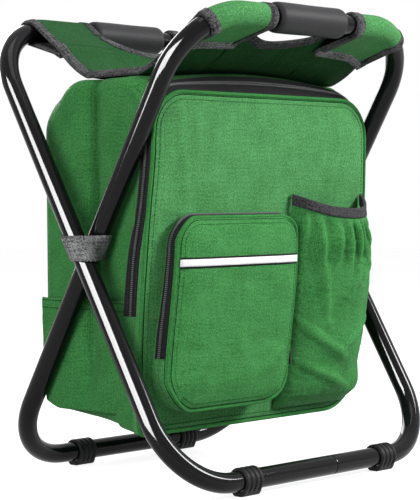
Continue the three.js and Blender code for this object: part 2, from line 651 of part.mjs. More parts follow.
// A slider with a bail eye, and the pull tab that hangs in it, on a wall that faces +X
function slider(x, y, z) {
  return block(x, x + SLIDER_T, y - SLIDER_WIDTH / 2, y + SLIDER_WIDTH / 2, z, z + SLIDER_LENGTH);
}

function pull(x, y, topZ) {
  return block(x, x + PULL_T, y - PULL_WIDTH / 2, y + PULL_WIDTH / 2, topZ - PULL_LENGTH, topZ);
}

const zipMiddle = ZIP_MIDDLE_Y + FIT_GAP / 2;
addPiece('main_zip_slider', 'steel', slider(W + FIT_GAP, zipMiddle, ZIP_END_Z));
const mainPullX = W + FIT_GAP + SLIDER_T - PULL_T / 2;
addPiece('main_zip_pull', 'steel', pull(mainPullX, zipMiddle, ZIP_END_Z - PULL_GAP));

// Piping sewn round the edge of the front
const pipingR = PIPING_D / 2;
const pipingY = BAG_FRONT_Y - FIT_GAP - pipingR;

function flapPiping() {
  const [cx, cz, r] = [W - BAG_CORNER_R, SHOULDER_Z, BAG_CORNER_R - pipingR];
  const start = { x: W - pipingR, z: FLAP_Z + PIPING_HINGE_CLEARANCE, nx: 1, nz: 0 };
  const path = [
    start,
    ...arc(cx, cz, r, 0, Math.PI / 2, ARC_STEPS),
    ...arc(-cx, cz, r, Math.PI / 2, Math.PI, ARC_STEPS),
    { ...start, x: -start.x, nx: -1 },
  ];
  return sweep(path, pipingR, PIPING_SIDES, false, pipingY);
}

function lowerPiping() {
  const [cx, cz] = [W - BAG_BOTTOM_CORNER_R, BAG_BOTTOM_Z + BAG_BOTTOM_CORNER_R];
  const r = BAG_BOTTOM_CORNER_R - pipingR;
  const start = { x: -W + pipingR, z: FLAP_Z - FIT_GAP, nx: -1, nz: 0 };
  const path = [
    start,
    ...arc(-cx, cz, r, Math.PI, Math.PI * 1.5, ARC_STEPS),
    ...arc(cx, cz, r, Math.PI * 1.5, Math.PI * 2, ARC_STEPS),
    { ...start, x: -start.x, nx: 1 },
  ];
  return sweep(path, pipingR, PIPING_SIDES, false, pipingY);
}

addPiece('flap_piping', 'cloth', flapPiping());
addPiece('lower_piping', 'cloth', lowerPiping());

// Zipped front pocket: a gusset on the bag, a fixed base tray and a front that folds down
const [pl, pr, pt, pb] = [POCKET_LEFT_X, POCKET_RIGHT_X, POCKET_TOP_Z, POCKET_BOTTOM_Z];

function pocketGusset() {
  const t = FABRIC_T;
  const ring = roundedRect(pl, pb, pr, pt, POCKET_CORNER_R, POCKET_CORNER_R);
  const innerR = POCKET_CORNER_R - t;
  ring.holes.push(roundedRect(pl + t, pb + t, pr - t, pt - t, innerR, innerR));
  return prism(ring, 'y', POCKET_SPLIT_Y, POCKET_REAR_Y);
}

function pocketBase() {
  const [t, top] = [FABRIC_T, POCKET_HINGE_Z - FIT_GAP];
  const rear = POCKET_SPLIT_Y - FIT_GAP;
  const outside = roundedRect(pl, pb, pr, top, POCKET_CORNER_R, 0);
  const inside = roundedRect(pl + t, pb + t, pr - t, top + t, POCKET_CORNER_R - t, 0);
  return cut(
    prism(outside, 'y', POCKET_FRONT_Y, rear),
    prism(inside, 'y', POCKET_FRONT_Y + t, rear + t),
  );
}

function pocketFlap() {
  const [t, rear] = [FABRIC_T, POCKET_SPLIT_Y - 2 * FIT_GAP - ZIP_HALF_WIDTH];
  const outside = roundedRect(pl, POCKET_HINGE_Z, pr, pt, 0, POCKET_CORNER_R);
  const inside = roundedRect(pl + t, POCKET_HINGE_Z - t, pr - t, pt - t, 0, POCKET_CORNER_R - t);
  return cut(
    prism(outside, 'y', POCKET_FRONT_Y, rear),
    prism(inside, 'y', POCKET_FRONT_Y + t, rear + t),
  );
}

const pocketTape = arch(pl, pr, POCKET_HINGE_Z, pt, POCKET_CORNER_R, ZIP_TAPE_T);
const pocketTapeRear = POCKET_SPLIT_Y - FIT_GAP;
addPiece('pocket_gusset', 'cloth', pocketGusset());
addPiece('pocket_base', 'cloth', pocketBase());
addPiece('pocket_flap', 'cloth', pocketFlap());
addPiece('pocket_zip_tape', 'zip', prism(pocketTape, 'y', pocketTapeRear - ZIP_HALF_WIDTH, pocketTapeRear));
const stripTop = pt - STRIP_BELOW_POCKET_TOP;
const stripY = POCKET_FRONT_Y - FIT_GAP;
addPiece('reflective_strip', 'reflective', block(
  pl, pr, stripY - STRIP_T, stripY, stripTop - STRIP_HEIGHT, stripTop,
));
addPiece('pocket_zip_slider', 'steel', slider(pr + FIT_GAP, pocketTapeRear, POCKET_HINGE_Z));
const pocketPullX = pr + SLIDER_T + 2 * FIT_GAP;
const pocketPullTop = POCKET_HINGE_Z + SLIDER_LENGTH / 2;
addPiece('pocket_zip_pull', 'steel', pull(pocketPullX, pocketTapeRear, pocketPullTop));

// Open bottle pocket with an elastic binding round its mouth
function bottleOutline(outset) {
  const [x0, x1, y0] = [BOTTLE_LEFT_X - outset, BOTTLE_RIGHT_X + outset, BOTTLE_FRONT_Y - outset];
  const r = BOTTLE_CORNER_R + outset;
  const shape = new THREE.Shape();
  shape.moveTo(x1, POCKET_REAR_Y);
  shape.lineTo(x0, POCKET_REAR_Y);
  shape.absarc(x0 + r, y0 + r, r, Math.PI, Math.PI * 1.5);
  shape.absarc(x1 - r, y0 + r, r, Math.PI * 1.5, Math.PI * 2);
  return shape;
}

function bottleWell(outset, bottom, top) {
  const well = prism(bottleOutline(outset), 'z', bottom, top);
  const past = block(
    BOTTLE_LEFT_X - outset, BOTTLE_RIGHT_X + outset, POCKET_REAR_Y - BOTTLE_DEPTH / 2,
    POCKET_REAR_Y + BOTTLE_DEPTH, bottom, top,
  );
  return join(well, past);
}

const bottleOuter = prism(bottleOutline(0), 'z', BOTTLE_BOTTOM_Z, BOTTLE_TOP_Z);
const bottleInner = bottleWell(-FABRIC_T, BOTTLE_BOTTOM_Z + FABRIC_T, BOTTLE_TOP_Z + BINDING_HEIGHT);
addPiece('bottle_pocket', 'cloth', cut(bottleOuter, bottleInner));
const rimBottom = BOTTLE_TOP_Z - BINDING_HEIGHT;
const rimOuter = prism(bottleOutline(FIT_GAP + BINDING_T), 'z', rimBottom, BOTTLE_TOP_Z);
const rimInner = bottleWell(FIT_GAP, rimBottom - BINDING_HEIGHT, BOTTLE_TOP_Z + BINDING_HEIGHT);
addPiece('bottle_pocket_binding', 'binding', cut(rimOuter, rimInner));

// Flat pouches over the creased lower side walls
function sidePouch(side) {
  const [bottom, top] = [BAG_BOTTOM_Z + POUCH_BOTTOM_RISE, PIVOT_Z - POUCH_BELOW_PIVOT];
  const [front, rear, t] = [POUCH_FRONT_Y, GUSSET_REAR_Y - POUCH_REAR_INSET, POUCH_CLOTH_T];
  const seam = [front, CREASE_Y, rear].map((y) => [wallX(y, bottom) + FIT_GAP, y]);
  const outside = [...seam, [W, rear], [W, front]];
  const past = W - CREASE_DEPTH - FABRIC_T;
  const hollow = [
    [past, front + t], [past, rear - t],
    [W - t, rear - t], [W - t, front + t],
  ];
  const place = (outline) => polygon(outline.map(([x, y]) => [side * x, y]));
  const floor = prism(place(outside), 'z', bottom, bottom + t);
  const well = prism(place(hollow), 'z', bottom - t, top + t);
  return join(cut(prism(place(outside), 'z', bottom, top), well), floor);
}

// Webbing straps that tie the bag to the crossing of the legs
function pivotStrap(side) {
  const half = STRAP_HEIGHT / 2;
  const [low, high] = [PIVOT_Z - STRAP_DROP - half, PIVOT_Z - STRAP_DROP + half];
  const inner = (half + STRAP_DROP) * Math.tan(LEG_TILT) + TUBE_R / Math.cos(LEG_TILT) + STRAP_CLEARANCE;
  const outer = inner + STRAP_T;
  const far = OUTER_HALF_WIDTH + TUBE_R + 2 * FIT_GAP + RIVET_HEAD_T;
  const sewn = (y) => wallX(y, high) + CREASE_GAP;
  const outline = [
    [sewn(-outer), -outer], [far + STRAP_T, -outer], [far + STRAP_T, outer], [sewn(outer), outer],
    [sewn(inner), inner], [far, inner], [far, -inner], [sewn(-inner), -inner],
  ];
  return prism(polygon(outline.map(([x, y]) => [side * x, y])), 'z', low, high);
}

for (const [word, side] of [['left', -1], ['right', 1]]) {
  addPiece(`${word}_side_pouch`, 'cloth', sidePouch(side));
  addPiece(`${word}_pivot_strap`, 'binding', pivotStrap(side));
}

export default model;
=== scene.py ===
import math

import bpy
import numpy as np
from mathutils import Matrix, Vector


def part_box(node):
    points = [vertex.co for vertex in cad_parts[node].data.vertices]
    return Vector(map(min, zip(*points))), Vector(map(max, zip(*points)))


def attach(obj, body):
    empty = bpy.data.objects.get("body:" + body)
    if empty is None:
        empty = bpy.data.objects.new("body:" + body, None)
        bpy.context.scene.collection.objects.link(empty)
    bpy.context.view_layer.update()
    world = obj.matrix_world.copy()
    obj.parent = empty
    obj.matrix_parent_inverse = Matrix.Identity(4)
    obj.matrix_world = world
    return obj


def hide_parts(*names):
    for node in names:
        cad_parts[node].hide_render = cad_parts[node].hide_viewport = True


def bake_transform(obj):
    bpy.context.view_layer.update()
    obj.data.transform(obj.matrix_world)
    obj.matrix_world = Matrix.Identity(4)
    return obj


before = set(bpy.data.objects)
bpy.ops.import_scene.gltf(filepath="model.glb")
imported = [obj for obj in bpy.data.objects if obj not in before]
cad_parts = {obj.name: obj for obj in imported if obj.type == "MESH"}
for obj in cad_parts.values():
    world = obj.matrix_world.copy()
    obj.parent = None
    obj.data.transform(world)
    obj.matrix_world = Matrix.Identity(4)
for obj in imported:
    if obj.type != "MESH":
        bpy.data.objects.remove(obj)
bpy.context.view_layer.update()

scene = bpy.context.scene

# Shapes are worked out in millimetres, with z from the floor
MM = 0.001
PIVOT = 228.276
TILT = math.radians(30.7)
TUBE_R = 9.5
BEND_R = 70.0
INNER_HALF = 163.5
OUTER_HALF = 184.5
LEG_UP = 243.6
LEG_DOWN = 249.2
TUBE_SEAM_X = 23.0
GRIP_X = -5.0
FOOT_AXIS_Z = 14.0
AWAY = np.array([0.0, -1.0, 0.0])


# Numbers
def ease(a, b, x):
    """A smooth step from 0 at a to 1 at b."""
    t = np.clip((np.asarray(x, float) - a) / (b - a), 0, 1)
    return t * t * (3 - 2 * t)


def flow(x, xs, ys, width):
    """Points joined by straight lines, with the corners rounded over the given width."""
    x = np.asarray(x, float)
    return sum(np.interp(x + k * width / 4, xs, ys) for k in range(-4, 5)) / 9


def ripple(u, v, seed, length, count=7):
    """Smooth seeded unevenness between about -1 and 1."""
    rng = np.random.default_rng(seed)
    out = 0
    for _ in range(count):
        a, ph = rng.uniform(0, 2 * math.pi, 2)
        k = 2 * math.pi / (length * rng.uniform(0.7, 1.6))
        out = out + np.sin(k * (u * math.cos(a) + v * math.sin(a)) + ph)
    return out / math.sqrt(count) * 0.8


def unit(v):
    return v / np.maximum(np.linalg.norm(v, axis=-1, keepdims=True), 1e-9)


def square_to(v, t):
    """The part of some directions that is square to others, as unit vectors."""
    return unit(v - t * (v * t).sum(1, keepdims=True))


def run_of(path):
    """Distance along a path at each of its points."""
    return np.concatenate([[0], np.cumsum(np.linalg.norm(np.diff(path, axis=0), axis=1))])


def closed_up(path):
    return np.vstack([path, path[:1]])


def sample(at, s, rows):
    """Rows of numbers that are known at the places s, read off at other places."""
    return np.stack([np.interp(at, s, column) for column in np.asarray(rows).T], 1)


def crowded(count, share):
    """Places from -1 to 1 that lie closer together near the ends."""
    a = math.pi / 2 * share
    return np.sin(np.linspace(-1, 1, count) * a) / math.sin(a)


def grid_normals(p, wrap=False):
    du = np.gradient(p, axis=0)
    if wrap:
        dv = (np.roll(p, -1, 1) - np.roll(p, 1, 1)) / 2
    else:
        dv = np.gradient(p, axis=1)
    return unit(np.cross(du, dv))


# Meshes
def build(name, verts, faces, uvs, mats, which=None, soft=True):
    """A mesh object from points in mm; uvs has one pair in mm for each corner of the faces."""
    mesh = bpy.data.meshes.new(name)
    mesh.from_pydata((np.asarray(verts) * MM).tolist(), [], faces)
    layer = mesh.uv_layers.new(name="cloth")
    layer.data.foreach_set("uv", (np.asarray(uvs, np.float32) * MM).ravel())
    for m in mats:
        mesh.materials.append(m)
    if which is not None:
        mesh.polygons.foreach_set("material_index", np.asarray(which, np.int32))
    mesh.polygons.foreach_set("use_smooth", np.full(len(mesh.polygons), soft))
    mesh.update()
    obj = bpy.data.objects.new(name, mesh)
    scene.collection.objects.link(obj)
    return obj


def quads(nu, nv, wrap=False, start=0, flip=False):
    """Faces of a grid of points, and the grid places of their corners."""
    faces, corners = [], []
    for i in range(nu - 1):
        a = start + i * nv
        b = a + nv
        for j in range(nv if wrap else nv - 1):
            k = (j + 1) % nv
            face = [a + j, b + j, b + k, a + k]
            uv = [(i, j), (i + 1, j), (i + 1, j + 1), (i, j + 1)]
            faces.append(face[::-1] if flip else face)
            corners.extend(uv[::-1] if flip else uv)
    return faces, corners


def lengths(p):
    """Distances along both ways of a grid, at its middle lines; the second goes on to its start."""
    return run_of(p[:, p.shape[1] // 2]), run_of(closed_up(p[p.shape[0] // 2]))


def two_sided(name, verts, top, low, rim, uvs, mat, lining):
    """A shell whose inner side may have a lining of its own."""
    which = [0] * len(top) + [1 if lining else 0] * len(low) + [0] * len(rim)
    return build(name, verts, top + low + rim, uvs, [mat] + ([lining] if lining else []), which)


def cloth(name, p, thick, mat, out=1, lining=None, plan=None):
    """A sheet with real thickness over a grid of points; out says which way its face looks."""
    nu, nv = p.shape[:2]
    n = grid_normals(p) * out
    verts = np.concatenate([(p + n * thick / 2).reshape(-1, 3), (p - n * thick / 2).reshape(-1, 3)])
    top, c1 = quads(nu, nv, flip=out < 0)
    low, c2 = quads(nu, nv, start=nu * nv, flip=out > 0)
    u, v = lengths(p)
    where = np.stack(np.meshgrid(u, v[:nv], indexing="ij"), -1) if plan is None else plan
    uvs = [where[i, j] for i, j in c1 + c2]
    rim = []
    border = [(i, 0) for i in range(nu)] + [(nu - 1, j) for j in range(1, nv)]
    border += [(i, nv - 1) for i in range(nu - 2, -1, -1)] + [(0, j) for j in range(nv - 2, 0, -1)]
    for a, b in zip(border, border[1:] + border[:1]):
        ia, ib = a[0] * nv + a[1], b[0] * nv + b[1]
        rim.append([ia, ia + nu * nv, ib + nu * nv, ib][::out])
        uvs += [where[a], where[a], where[b], where[b]][::out]
    return two_sided(name, verts, top, low, rim, uvs, mat, lining)


def wrap_round(name, rings, mat, thick, lining=None):
    """A closed band through rings of points, as one shell."""
    p = np.array(rings)
    nu, nv = p.shape[:2]
    n = grid_normals(p, wrap=True)
    facing = -1 if n[nu // 2, nv // 8, 0] > 0 else 1
    verts = np.concatenate([p.reshape(-1, 3), (p - n * facing * thick).reshape(-1, 3)])
    top, c1 = quads(nu, nv, wrap=True, flip=facing < 0)
    low, c2 = quads(nu, nv, wrap=True, start=nu * nv, flip=facing > 0)
    u, v = lengths(p)
    uvs = [(u[i], v[j]) for i, j in c1 + c2]
    rim = []
    for i, turn in ((0, facing), (nu - 1, -facing)):
        for j in range(nv):
            k = (j + 1) % nv
            rim.append([i * nv + j, i * nv + k, (nu + i) * nv + k, (nu + i) * nv + j][::turn])
            uvs += [(u[i], v[j]), (u[i], v[j + 1]), (u[i], v[j + 1]), (u[i], v[j])]
    return two_sided(name, verts, top, low, rim, uvs, mat, lining)


def turned(name, p, mat):
    """A mesh over rings of points that each close on themselves."""
    faces, corners = quads(*p.shape[:2], wrap=True, flip=True)
    u, v = lengths(p)
    return build(name, p.reshape(-1, 3), faces, [(u[i], v[j]) for i, j in corners], [mat])


def tube(name, p, path, profile, mat, closed=False, cap=None):
    """A mesh over a profile's places along a path: p has one row of points for each, cap the ends' uvs."""
    n, k = p.shape[:2]
    along, around = run_of(closed_up(path)), run_of(closed_up(profile))
    faces, uvs = [], []
    for i in range(n if closed else n - 1):
        a, b = i * k, (i + 1) % n * k
        u0, u1 = along[i], along[i + 1]
        for j in range(k):
            jj = (j + 1) % k
            v0, v1 = around[j], around[j + 1]
            faces.append([a + j, a + jj, b + jj, b + j])
            uvs += [(u0, v0), (u0, v1), (u1, v1), (u1, v0)]
    if not closed:
        faces += [list(range(k))[::-1], [(n - 1) * k + j for j in range(k)]]
        uvs += [tuple(q) for q in cap[::-1]] + [tuple(q) for q in cap]
    return build(name, p.reshape(-1, 3), faces, uvs, [mat])


def sweep(name, path, profile, mat, up, closed=False, scale=1.0):
    """A profile of (across, up) points carried along a path."""
    path, profile = np.asarray(path, float), np.asarray(profile, float)
    if closed:
        tangent = unit(np.roll(path, -1, 0) - np.roll(path, 1, 0))
    else:
        tangent = unit(np.gradient(path, axis=0))
    up = square_to(np.broadcast_to(up, path.shape), tangent)
    side = np.cross(up, tangent)
    size = np.broadcast_to(scale, len(path))[:, None, None]
    p = path[:, None] + (side[:, None] * profile[None, :, :1] + up[:, None] * profile[None, :, 1:]) * size
    return tube(name, p, path, profile, mat, closed, profile)


def circle(r, sides):
    a = np.arange(sides) * 2 * math.pi / sides
    return np.stack([r * np.cos(a), r * np.sin(a)], 1)


def band(width, thick):
    """Profile of a flat ribbon with rounded edges, lying on the surface."""
    w, t = width / 2, thick
    return [(-w, 0.15 * t), (-w + 0.3 * t, 0), (w - 0.3 * t, 0), (w, 0.15 * t), (w, 0.75 * t),
            (w - 0.35 * t, t), (0, t * 1.06), (-w + 0.35 * t, t), (-w, 0.75 * t)]


def studs(name, path, normal, step, size, mat, closed=False):
    """Small rounded bars along a path, such as stitches or zip teeth; size is along, across and high."""
    path = closed_up(path) if closed else path
    s = run_of(path)
    count = max(2, int(s[-1] / step))
    at = (np.arange(count) + 0.5) * s[-1] / count
    pts = sample(at, s, path)
    t = unit(sample(at + 0.5, s, path) - sample(at - 0.5, s, path))
    normal = np.atleast_2d(normal)
    n = square_to(unit(sample(at / s[-1], np.linspace(0, 1, len(normal)), normal)), t)
    b = np.cross(n, t)
    la, lb, lc = np.array(size) / 2
    levels = ((1.0, 0.55, 0.0), (0.8, 1.0, 1.0), (0.55, 0.6, 2.0))
    turns = ((-1, -1), (-1, 1), (1, 1), (1, -1))
    shape = np.array([(i * x * la, j * y * lb, z * lc) for x, y, z in levels for i, j in turns])
    verts = pts[:, None] + t[:, None] * shape[None, :, :1]
    verts = verts + b[:, None] * shape[None, :, 1:2] + n[:, None] * shape[None, :, 2:]
    one = [(0, 1, 2, 3)]
    for r in (0, 4):
        one += [(r + i, r + 4 + i, r + 4 + (i + 1) % 4, r + (i + 1) % 4) for i in range(4)]
    one += [(8, 11, 10, 9)]
    faces = [[k * len(shape) + q for q in f][::-1] for k in range(len(pts)) for f in one]
    return build(name, verts.reshape(-1, 3), faces, np.zeros((4 * len(faces), 2)), [mat])


def join(name, objs):
    """Several meshes as one piece."""
    first = objs[0]
    with bpy.context.temp_override(active_object=first, object=first, selected_objects=objs,
                                   selected_editable_objects=objs):
        bpy.ops.object.join()
    first.name = name
    return first


def settle(p, hold, pressure=0.0, gravity=0.0, spare=0.015, frames=16, cap=4.0, out=1):
    """Lets a grid of cloth swell and wrinkle in a cloth simulation; hold is 1 where it is sewn down."""
    nu, nv = p.shape[:2]
    faces, corners = quads(nu, nv, flip=out < 0)
    obj = build("settling", p.reshape(-1, 3), faces, np.zeros((len(corners), 2)), [])
    group = obj.vertex_groups.new(name="sewn")
    for i, w in enumerate(np.broadcast_to(hold, (nu, nv)).ravel()):
        group.add([i], float(w), "REPLACE")
    mod = obj.modifiers.new("settle", "CLOTH")
    s = mod.settings
    s.quality = 5
    s.mass = 0.12
    s.tension_stiffness = 15
    s.compression_stiffness = 15
    s.shear_stiffness = 8
    s.bending_stiffness = 0.15
    s.shrink_min = -spare
    s.vertex_group_mass = "sewn"
    s.use_pressure = pressure != 0
    s.uniform_pressure_force = pressure
    s.effector_weights.gravity = gravity
    mod.point_cache.frame_end = frames
    for f in range(1, frames + 1):
        scene.frame_set(f)
    shown = obj.evaluated_get(bpy.context.evaluated_depsgraph_get())
    co = np.empty(3 * nu * nv, np.float32)
    shown.data.vertices.foreach_get("co", co)
    bpy.data.objects.remove(obj)
    scene.frame_set(1)
    move = co.reshape(p.shape).astype(float) / MM - p
    far = np.linalg.norm(move, axis=-1, keepdims=True)
    return p + move * np.minimum(1, cap / np.maximum(far, 1e-6))


def sewn_edges(nu, nv, first=2, sides=(1, 1, 1, 1)):
    """Hold weights: 1 along the chosen borders of a grid, falling off over a few rows."""
    i, j = np.meshgrid(np.arange(nu), np.arange(nv), indexing="ij")
    near = [a for a, on in zip((i, nu - 1 - i, j, nv - 1 - j), sides) if on]
    return 1 - ease(first, first + 4, np.minimum.reduce(near))


# Materials
def shader(name, **sockets):
    m = bpy.data.materials.new(name)
    m.use_nodes = True
    b = m.node_tree.nodes["Principled BSDF"]
    for key, value in sockets.items():
        b.inputs[key.replace("_", " ")].default_value = value
    return m, m.node_tree, b


def add(tree, kind, at, **values):
    """A texture node that reads the given coordinates."""
    node = tree.nodes.new(kind)
    for key, value in values.items():
        if key in node.inputs:
            node.inputs[key].default_value = value
        else:
            setattr(node, key, value)
    tree.links.new(at, node.inputs["Vector"])
    return node


def noise(tree, at, scale, detail, rough):
    return add(tree, "ShaderNodeTexNoise", at, Scale=scale, Detail=detail, Roughness=rough).outputs["Fac"]


def math_node(tree, op, a, b):
    node = tree.nodes.new("ShaderNodeMath")
    node.operation = op
    for i, v in enumerate((a, b)):
        if isinstance(v, (int, float)):
            node.inputs[i].default_value = v
        else:
            tree.links.new(v, node.inputs[i])
    return node.outputs[0]


def two_tone(tree, source, shader_node, low, dark, high, light):
    """Colours the surface from dark at one value of the source to light at another."""
    node = tree.nodes.new("ShaderNodeValToRGB")
    tree.links.new(source, node.inputs[0])
    for stop, at, colour in zip(node.color_ramp.elements, (low, high), (dark, light)):
        stop.position = at
        stop.color = (*colour, 1)
    tree.links.new(node.outputs[0], shader_node.inputs["Base Color"])


def bumps(tree, height, shader_node, strength, distance):
    node = tree.nodes.new("ShaderNodeBump")
    node.inputs["Strength"].default_value = strength
    node.inputs["Distance"].default_value = distance
    tree.links.new(height, node.inputs["Height"])
    tree.links.new(node.outputs[0], shader_node.inputs["Normal"])


def weave(tree, uv, pitch):
    """Height of a plain weave of the given thread pitch in metres."""
    wave_scale = 0.31416 / pitch
    a, b = (add(tree, "ShaderNodeTexWave", uv, bands_direction=way, Scale=wave_scale, Distortion=0.0)
            for way in ("X", "Y"))
    checks = add(tree, "ShaderNodeTexChecker", uv, Scale=1 / pitch).outputs["Fac"]
    up = math_node(tree, "MULTIPLY", a.outputs["Fac"], checks)
    other = math_node(tree, "SUBTRACT", 1.0, checks)
    return math_node(tree, "ADD", up, math_node(tree, "MULTIPLY", b.outputs["Fac"], other))


def stretched(tree, uv, along, across):
    """Noise drawn out into slubs that run along the threads."""
    at = add(tree, "ShaderNodeVectorMath", uv, operation="MULTIPLY")
    at.inputs[1].default_value = (along, across, 1.0)
    return noise(tree, at.outputs[0], 1.0, 2.0, 0.55)


def woven(name, dark, light, pitch, rough, bump, speck=0.7, sheen=0.03, slub=0.12):
    """Woven cloth: thread colours, uneven dye, slubs, flecks and a thread relief."""
    m, t, b = shader(name, Roughness=rough, Sheen_Weight=sheen, Sheen_Roughness=0.45, Specular_IOR_Level=0.03)
    uv = t.nodes.new("ShaderNodeTexCoord").outputs["UV"]
    threads = weave(t, uv, pitch)
    dye = noise(t, uv, 30.0, 4.0, 0.6)
    fleck = noise(t, uv, 0.72 / pitch, 2.0, 0.8)
    fine, long = 0.5 / pitch, 0.06 / pitch
    slubs = math_node(t, "ADD", stretched(t, uv, fine, long), stretched(t, uv, long, fine))
    thread_share, dye_share = 0.2, 0.18
    mix = math_node(t, "MULTIPLY", threads, thread_share)
    for source, share in ((dye, dye_share), (fleck, speck), (slubs, slub)):
        mix = math_node(t, "ADD", mix, math_node(t, "MULTIPLY", source, share))
    middle = 0.5 * (thread_share + dye_share + speck) + slub
    two_tone(t, math_node(t, "SUBTRACT", mix, middle - 0.5), b, 0.36, dark, 0.64, light)
    bumps(t, math_node(t, "ADD", threads, math_node(t, "MULTIPLY", slubs, 0.8)), b, bump, pitch * 0.35)
    return m


def solid_look(name, dark, light, rough, scale, bump, distance, metallic=0.0, shine=0.5, spread=0.08):
    """A moulded, painted or metal surface with slight unevenness."""
    m, t, b = shader(name, Metallic=metallic, Specular_IOR_Level=shine)
    at = t.nodes.new("ShaderNodeTexCoord").outputs["Object"]
    grain = noise(t, at, scale, 5.0, 0.6)
    two_tone(t, grain, b, 0.35, dark, 0.65, light)
    wide = noise(t, at, 22.0, 3.0, 0.5)
    uneven = math_node(t, "ADD", math_node(t, "MULTIPLY", wide, 2 * spread), rough - spread)
    t.links.new(uneven, b.inputs["Roughness"])
    bumps(t, grain, b, bump, distance)
    return m


# Cloths: dark and light threads, thread pitch in metres, roughness and relief
# A paler, lighter copy of the green cloth: its raised red and blue paint a sheen of light into the cloth's
# own green.
GREEN_PAINTED_SHEEN = woven("green_cloth_painted_sheen", (0.018, 0.100, 0.024), (0.096, 0.325, 0.110), 0.0012, 0.62, 0.5)
# A darker, deeper copy of the same green cloth: painted shade, for the side walls, pockets and pouches.
GREEN_PAINTED_SHADE = woven("green_cloth_painted_shade", (0.012, 0.086, 0.017), (0.066, 0.272, 0.078), 0.0012, 0.62, 0.5)
# The sling's green, darkened by half: painted shade on the sling's upper side and on the rear loops.
SLING_GREEN_PAINTED_SHADE = woven("sling_green_canvas_painted_shade", (0.004, 0.030, 0.007), (0.020, 0.098, 0.027), 0.0012, 0.65, 0.5)
# Darker still: painted shade on the sling's underside, which faces away from the light.
SLING_UNDERSIDE_PAINTED_SHADE = woven("sling_underside_painted_shade", (0.003, 0.022, 0.005), (0.014, 0.078, 0.019), 0.0012, 0.7, 0.5)
GREEN_EDGE = woven("green_piping_cloth", (0.012, 0.090, 0.017), (0.052, 0.250, 0.064), 0.0010, 0.75, 0.4)
HEATHER = woven("heather_grey_webbing", (0.030, 0.030, 0.031), (0.350, 0.350, 0.355), 0.0013, 0.85, 0.8,
                speck=0.9, slub=0.5)
SLING_EDGE = woven("dark_heather_binding", (0.008, 0.008, 0.009), (0.130, 0.130, 0.134), 0.0014, 0.85, 0.8,
                   speck=0.9, slub=0.5)
DARK_EDGE = woven("dark_binding_tape", (0.008, 0.008, 0.009), (0.085, 0.083, 0.088), 0.0013, 0.85, 0.6,
                  speck=0.8)
TAPE = woven("zip_tape", (0.006, 0.006, 0.007), (0.026, 0.025, 0.027), 0.0009, 0.8, 0.4)
BLACK = woven("black_lining_cloth", (0.003, 0.0035, 0.003), (0.014, 0.016, 0.014), 0.0010, 0.8, 0.4,
              sheen=0.05)
# Dark green thread for stitching; also the thin dark cords beside the piping, which paint the shade in the
# grooves there.
THREAD_AND_SEAM_SHADE = woven("dark_green_thread_and_seam_shade", (0.003, 0.014, 0.004), (0.010, 0.050, 0.014), 0.0006, 0.8, 0.4,
             sheen=0.0)
THREAD = woven("green_thread", (0.012, 0.090, 0.018), (0.050, 0.250, 0.062), 0.0006, 0.7, 0.5)
GREY_THREAD = woven("grey_thread", (0.030, 0.030, 0.032), (0.110, 0.110, 0.115), 0.0006, 0.7, 0.5)
WHITE = woven("reflective_white_tape", (0.55, 0.55, 0.57), (0.88, 0.88, 0.90), 0.0009, 0.45, 0.25, sheen=0.0)

# Other surfaces: dark and light colour, roughness, grain per metre, relief and its depth in metres
PAINT = solid_look("black_gloss_paint", (0.0035, 0.0035, 0.004), (0.007, 0.007, 0.008), 0.09, 900.0, 0.01,
                   0.0002, shine=0.12, spread=0.02)
FOAM = solid_look("dark_foam_grip", (0.015, 0.015, 0.016), (0.038, 0.038, 0.040), 0.5, 1500.0, 0.35, 0.0004,
                  shine=0.08)
RUBBER = solid_look("black_rubber", (0.006, 0.006, 0.007), (0.016, 0.016, 0.017), 0.5, 700.0, 0.2, 0.0003,
                    shine=0.12)
STEEL = solid_look("dark_zinc", (0.10, 0.10, 0.105), (0.20, 0.20, 0.21), 0.32, 500.0, 0.08, 0.0002,
                   metallic=0.9)
NYLON = solid_look("black_nylon", (0.010, 0.010, 0.011), (0.026, 0.026, 0.028), 0.42, 800.0, 0.1, 0.0002)
TEETH = solid_look("grey_zip_coil", (0.070, 0.070, 0.073), (0.150, 0.150, 0.155), 0.45, 900.0, 0.1, 0.0002)
LINER = solid_look("silver_film_liner", (0.42, 0.43, 0.45), (0.68, 0.69, 0.71), 0.34, 60.0, 0.5, 0.002,
                   metallic=0.55)

# CAD nodes that keep their shape and only get a look
CARRIED_OVER = {"outer_joint_plug": STEEL, "inner_joint_plug": STEEL, "left_pivot_rivet": STEEL,
                "right_pivot_rivet": STEEL, "left_pivot_washer": NYLON, "right_pivot_washer": NYLON}
for node, look in CARRIED_OVER.items():
    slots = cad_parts[node].data.materials
    slots.clear()
    slots.append(look)


def place(obj, body, slot, *nodes):
    """Rides a piece on a body and hides the nodes that it stands for; a piece given two bodies stays where it
    was built. The slot is not used.
    """
    if isinstance(body, tuple):
        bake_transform(obj)
    else:
        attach(obj, body)
    if nodes:
        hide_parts(*nodes)
    return obj


def piping(name, line, r, sides, mat, body, *nodes, up=AWAY):
    """A closed cord along a seam: cloth piping, or a thin dark cord that paints the shade of a groove."""
    place(sweep(name, line, circle(r, sides), mat, up, closed=True), body, "cloth", *nodes)


def topstitch(name, line, step, long, body):
    place(studs(name, line, AWAY, step, (long, 0.7, 0.5), THREAD, closed=True), body, "cloth")


# Frame
def on_hoop(x, along, lean):
    """Points in a hoop's plane, up from the pivot; lean is 1 for the outer hoop and -1 for the inner."""
    x, along = np.broadcast_arrays(np.asarray(x, float), np.asarray(along, float))
    return np.stack([x, lean * along * math.sin(TILT), PIVOT + along * math.cos(TILT)], -1)


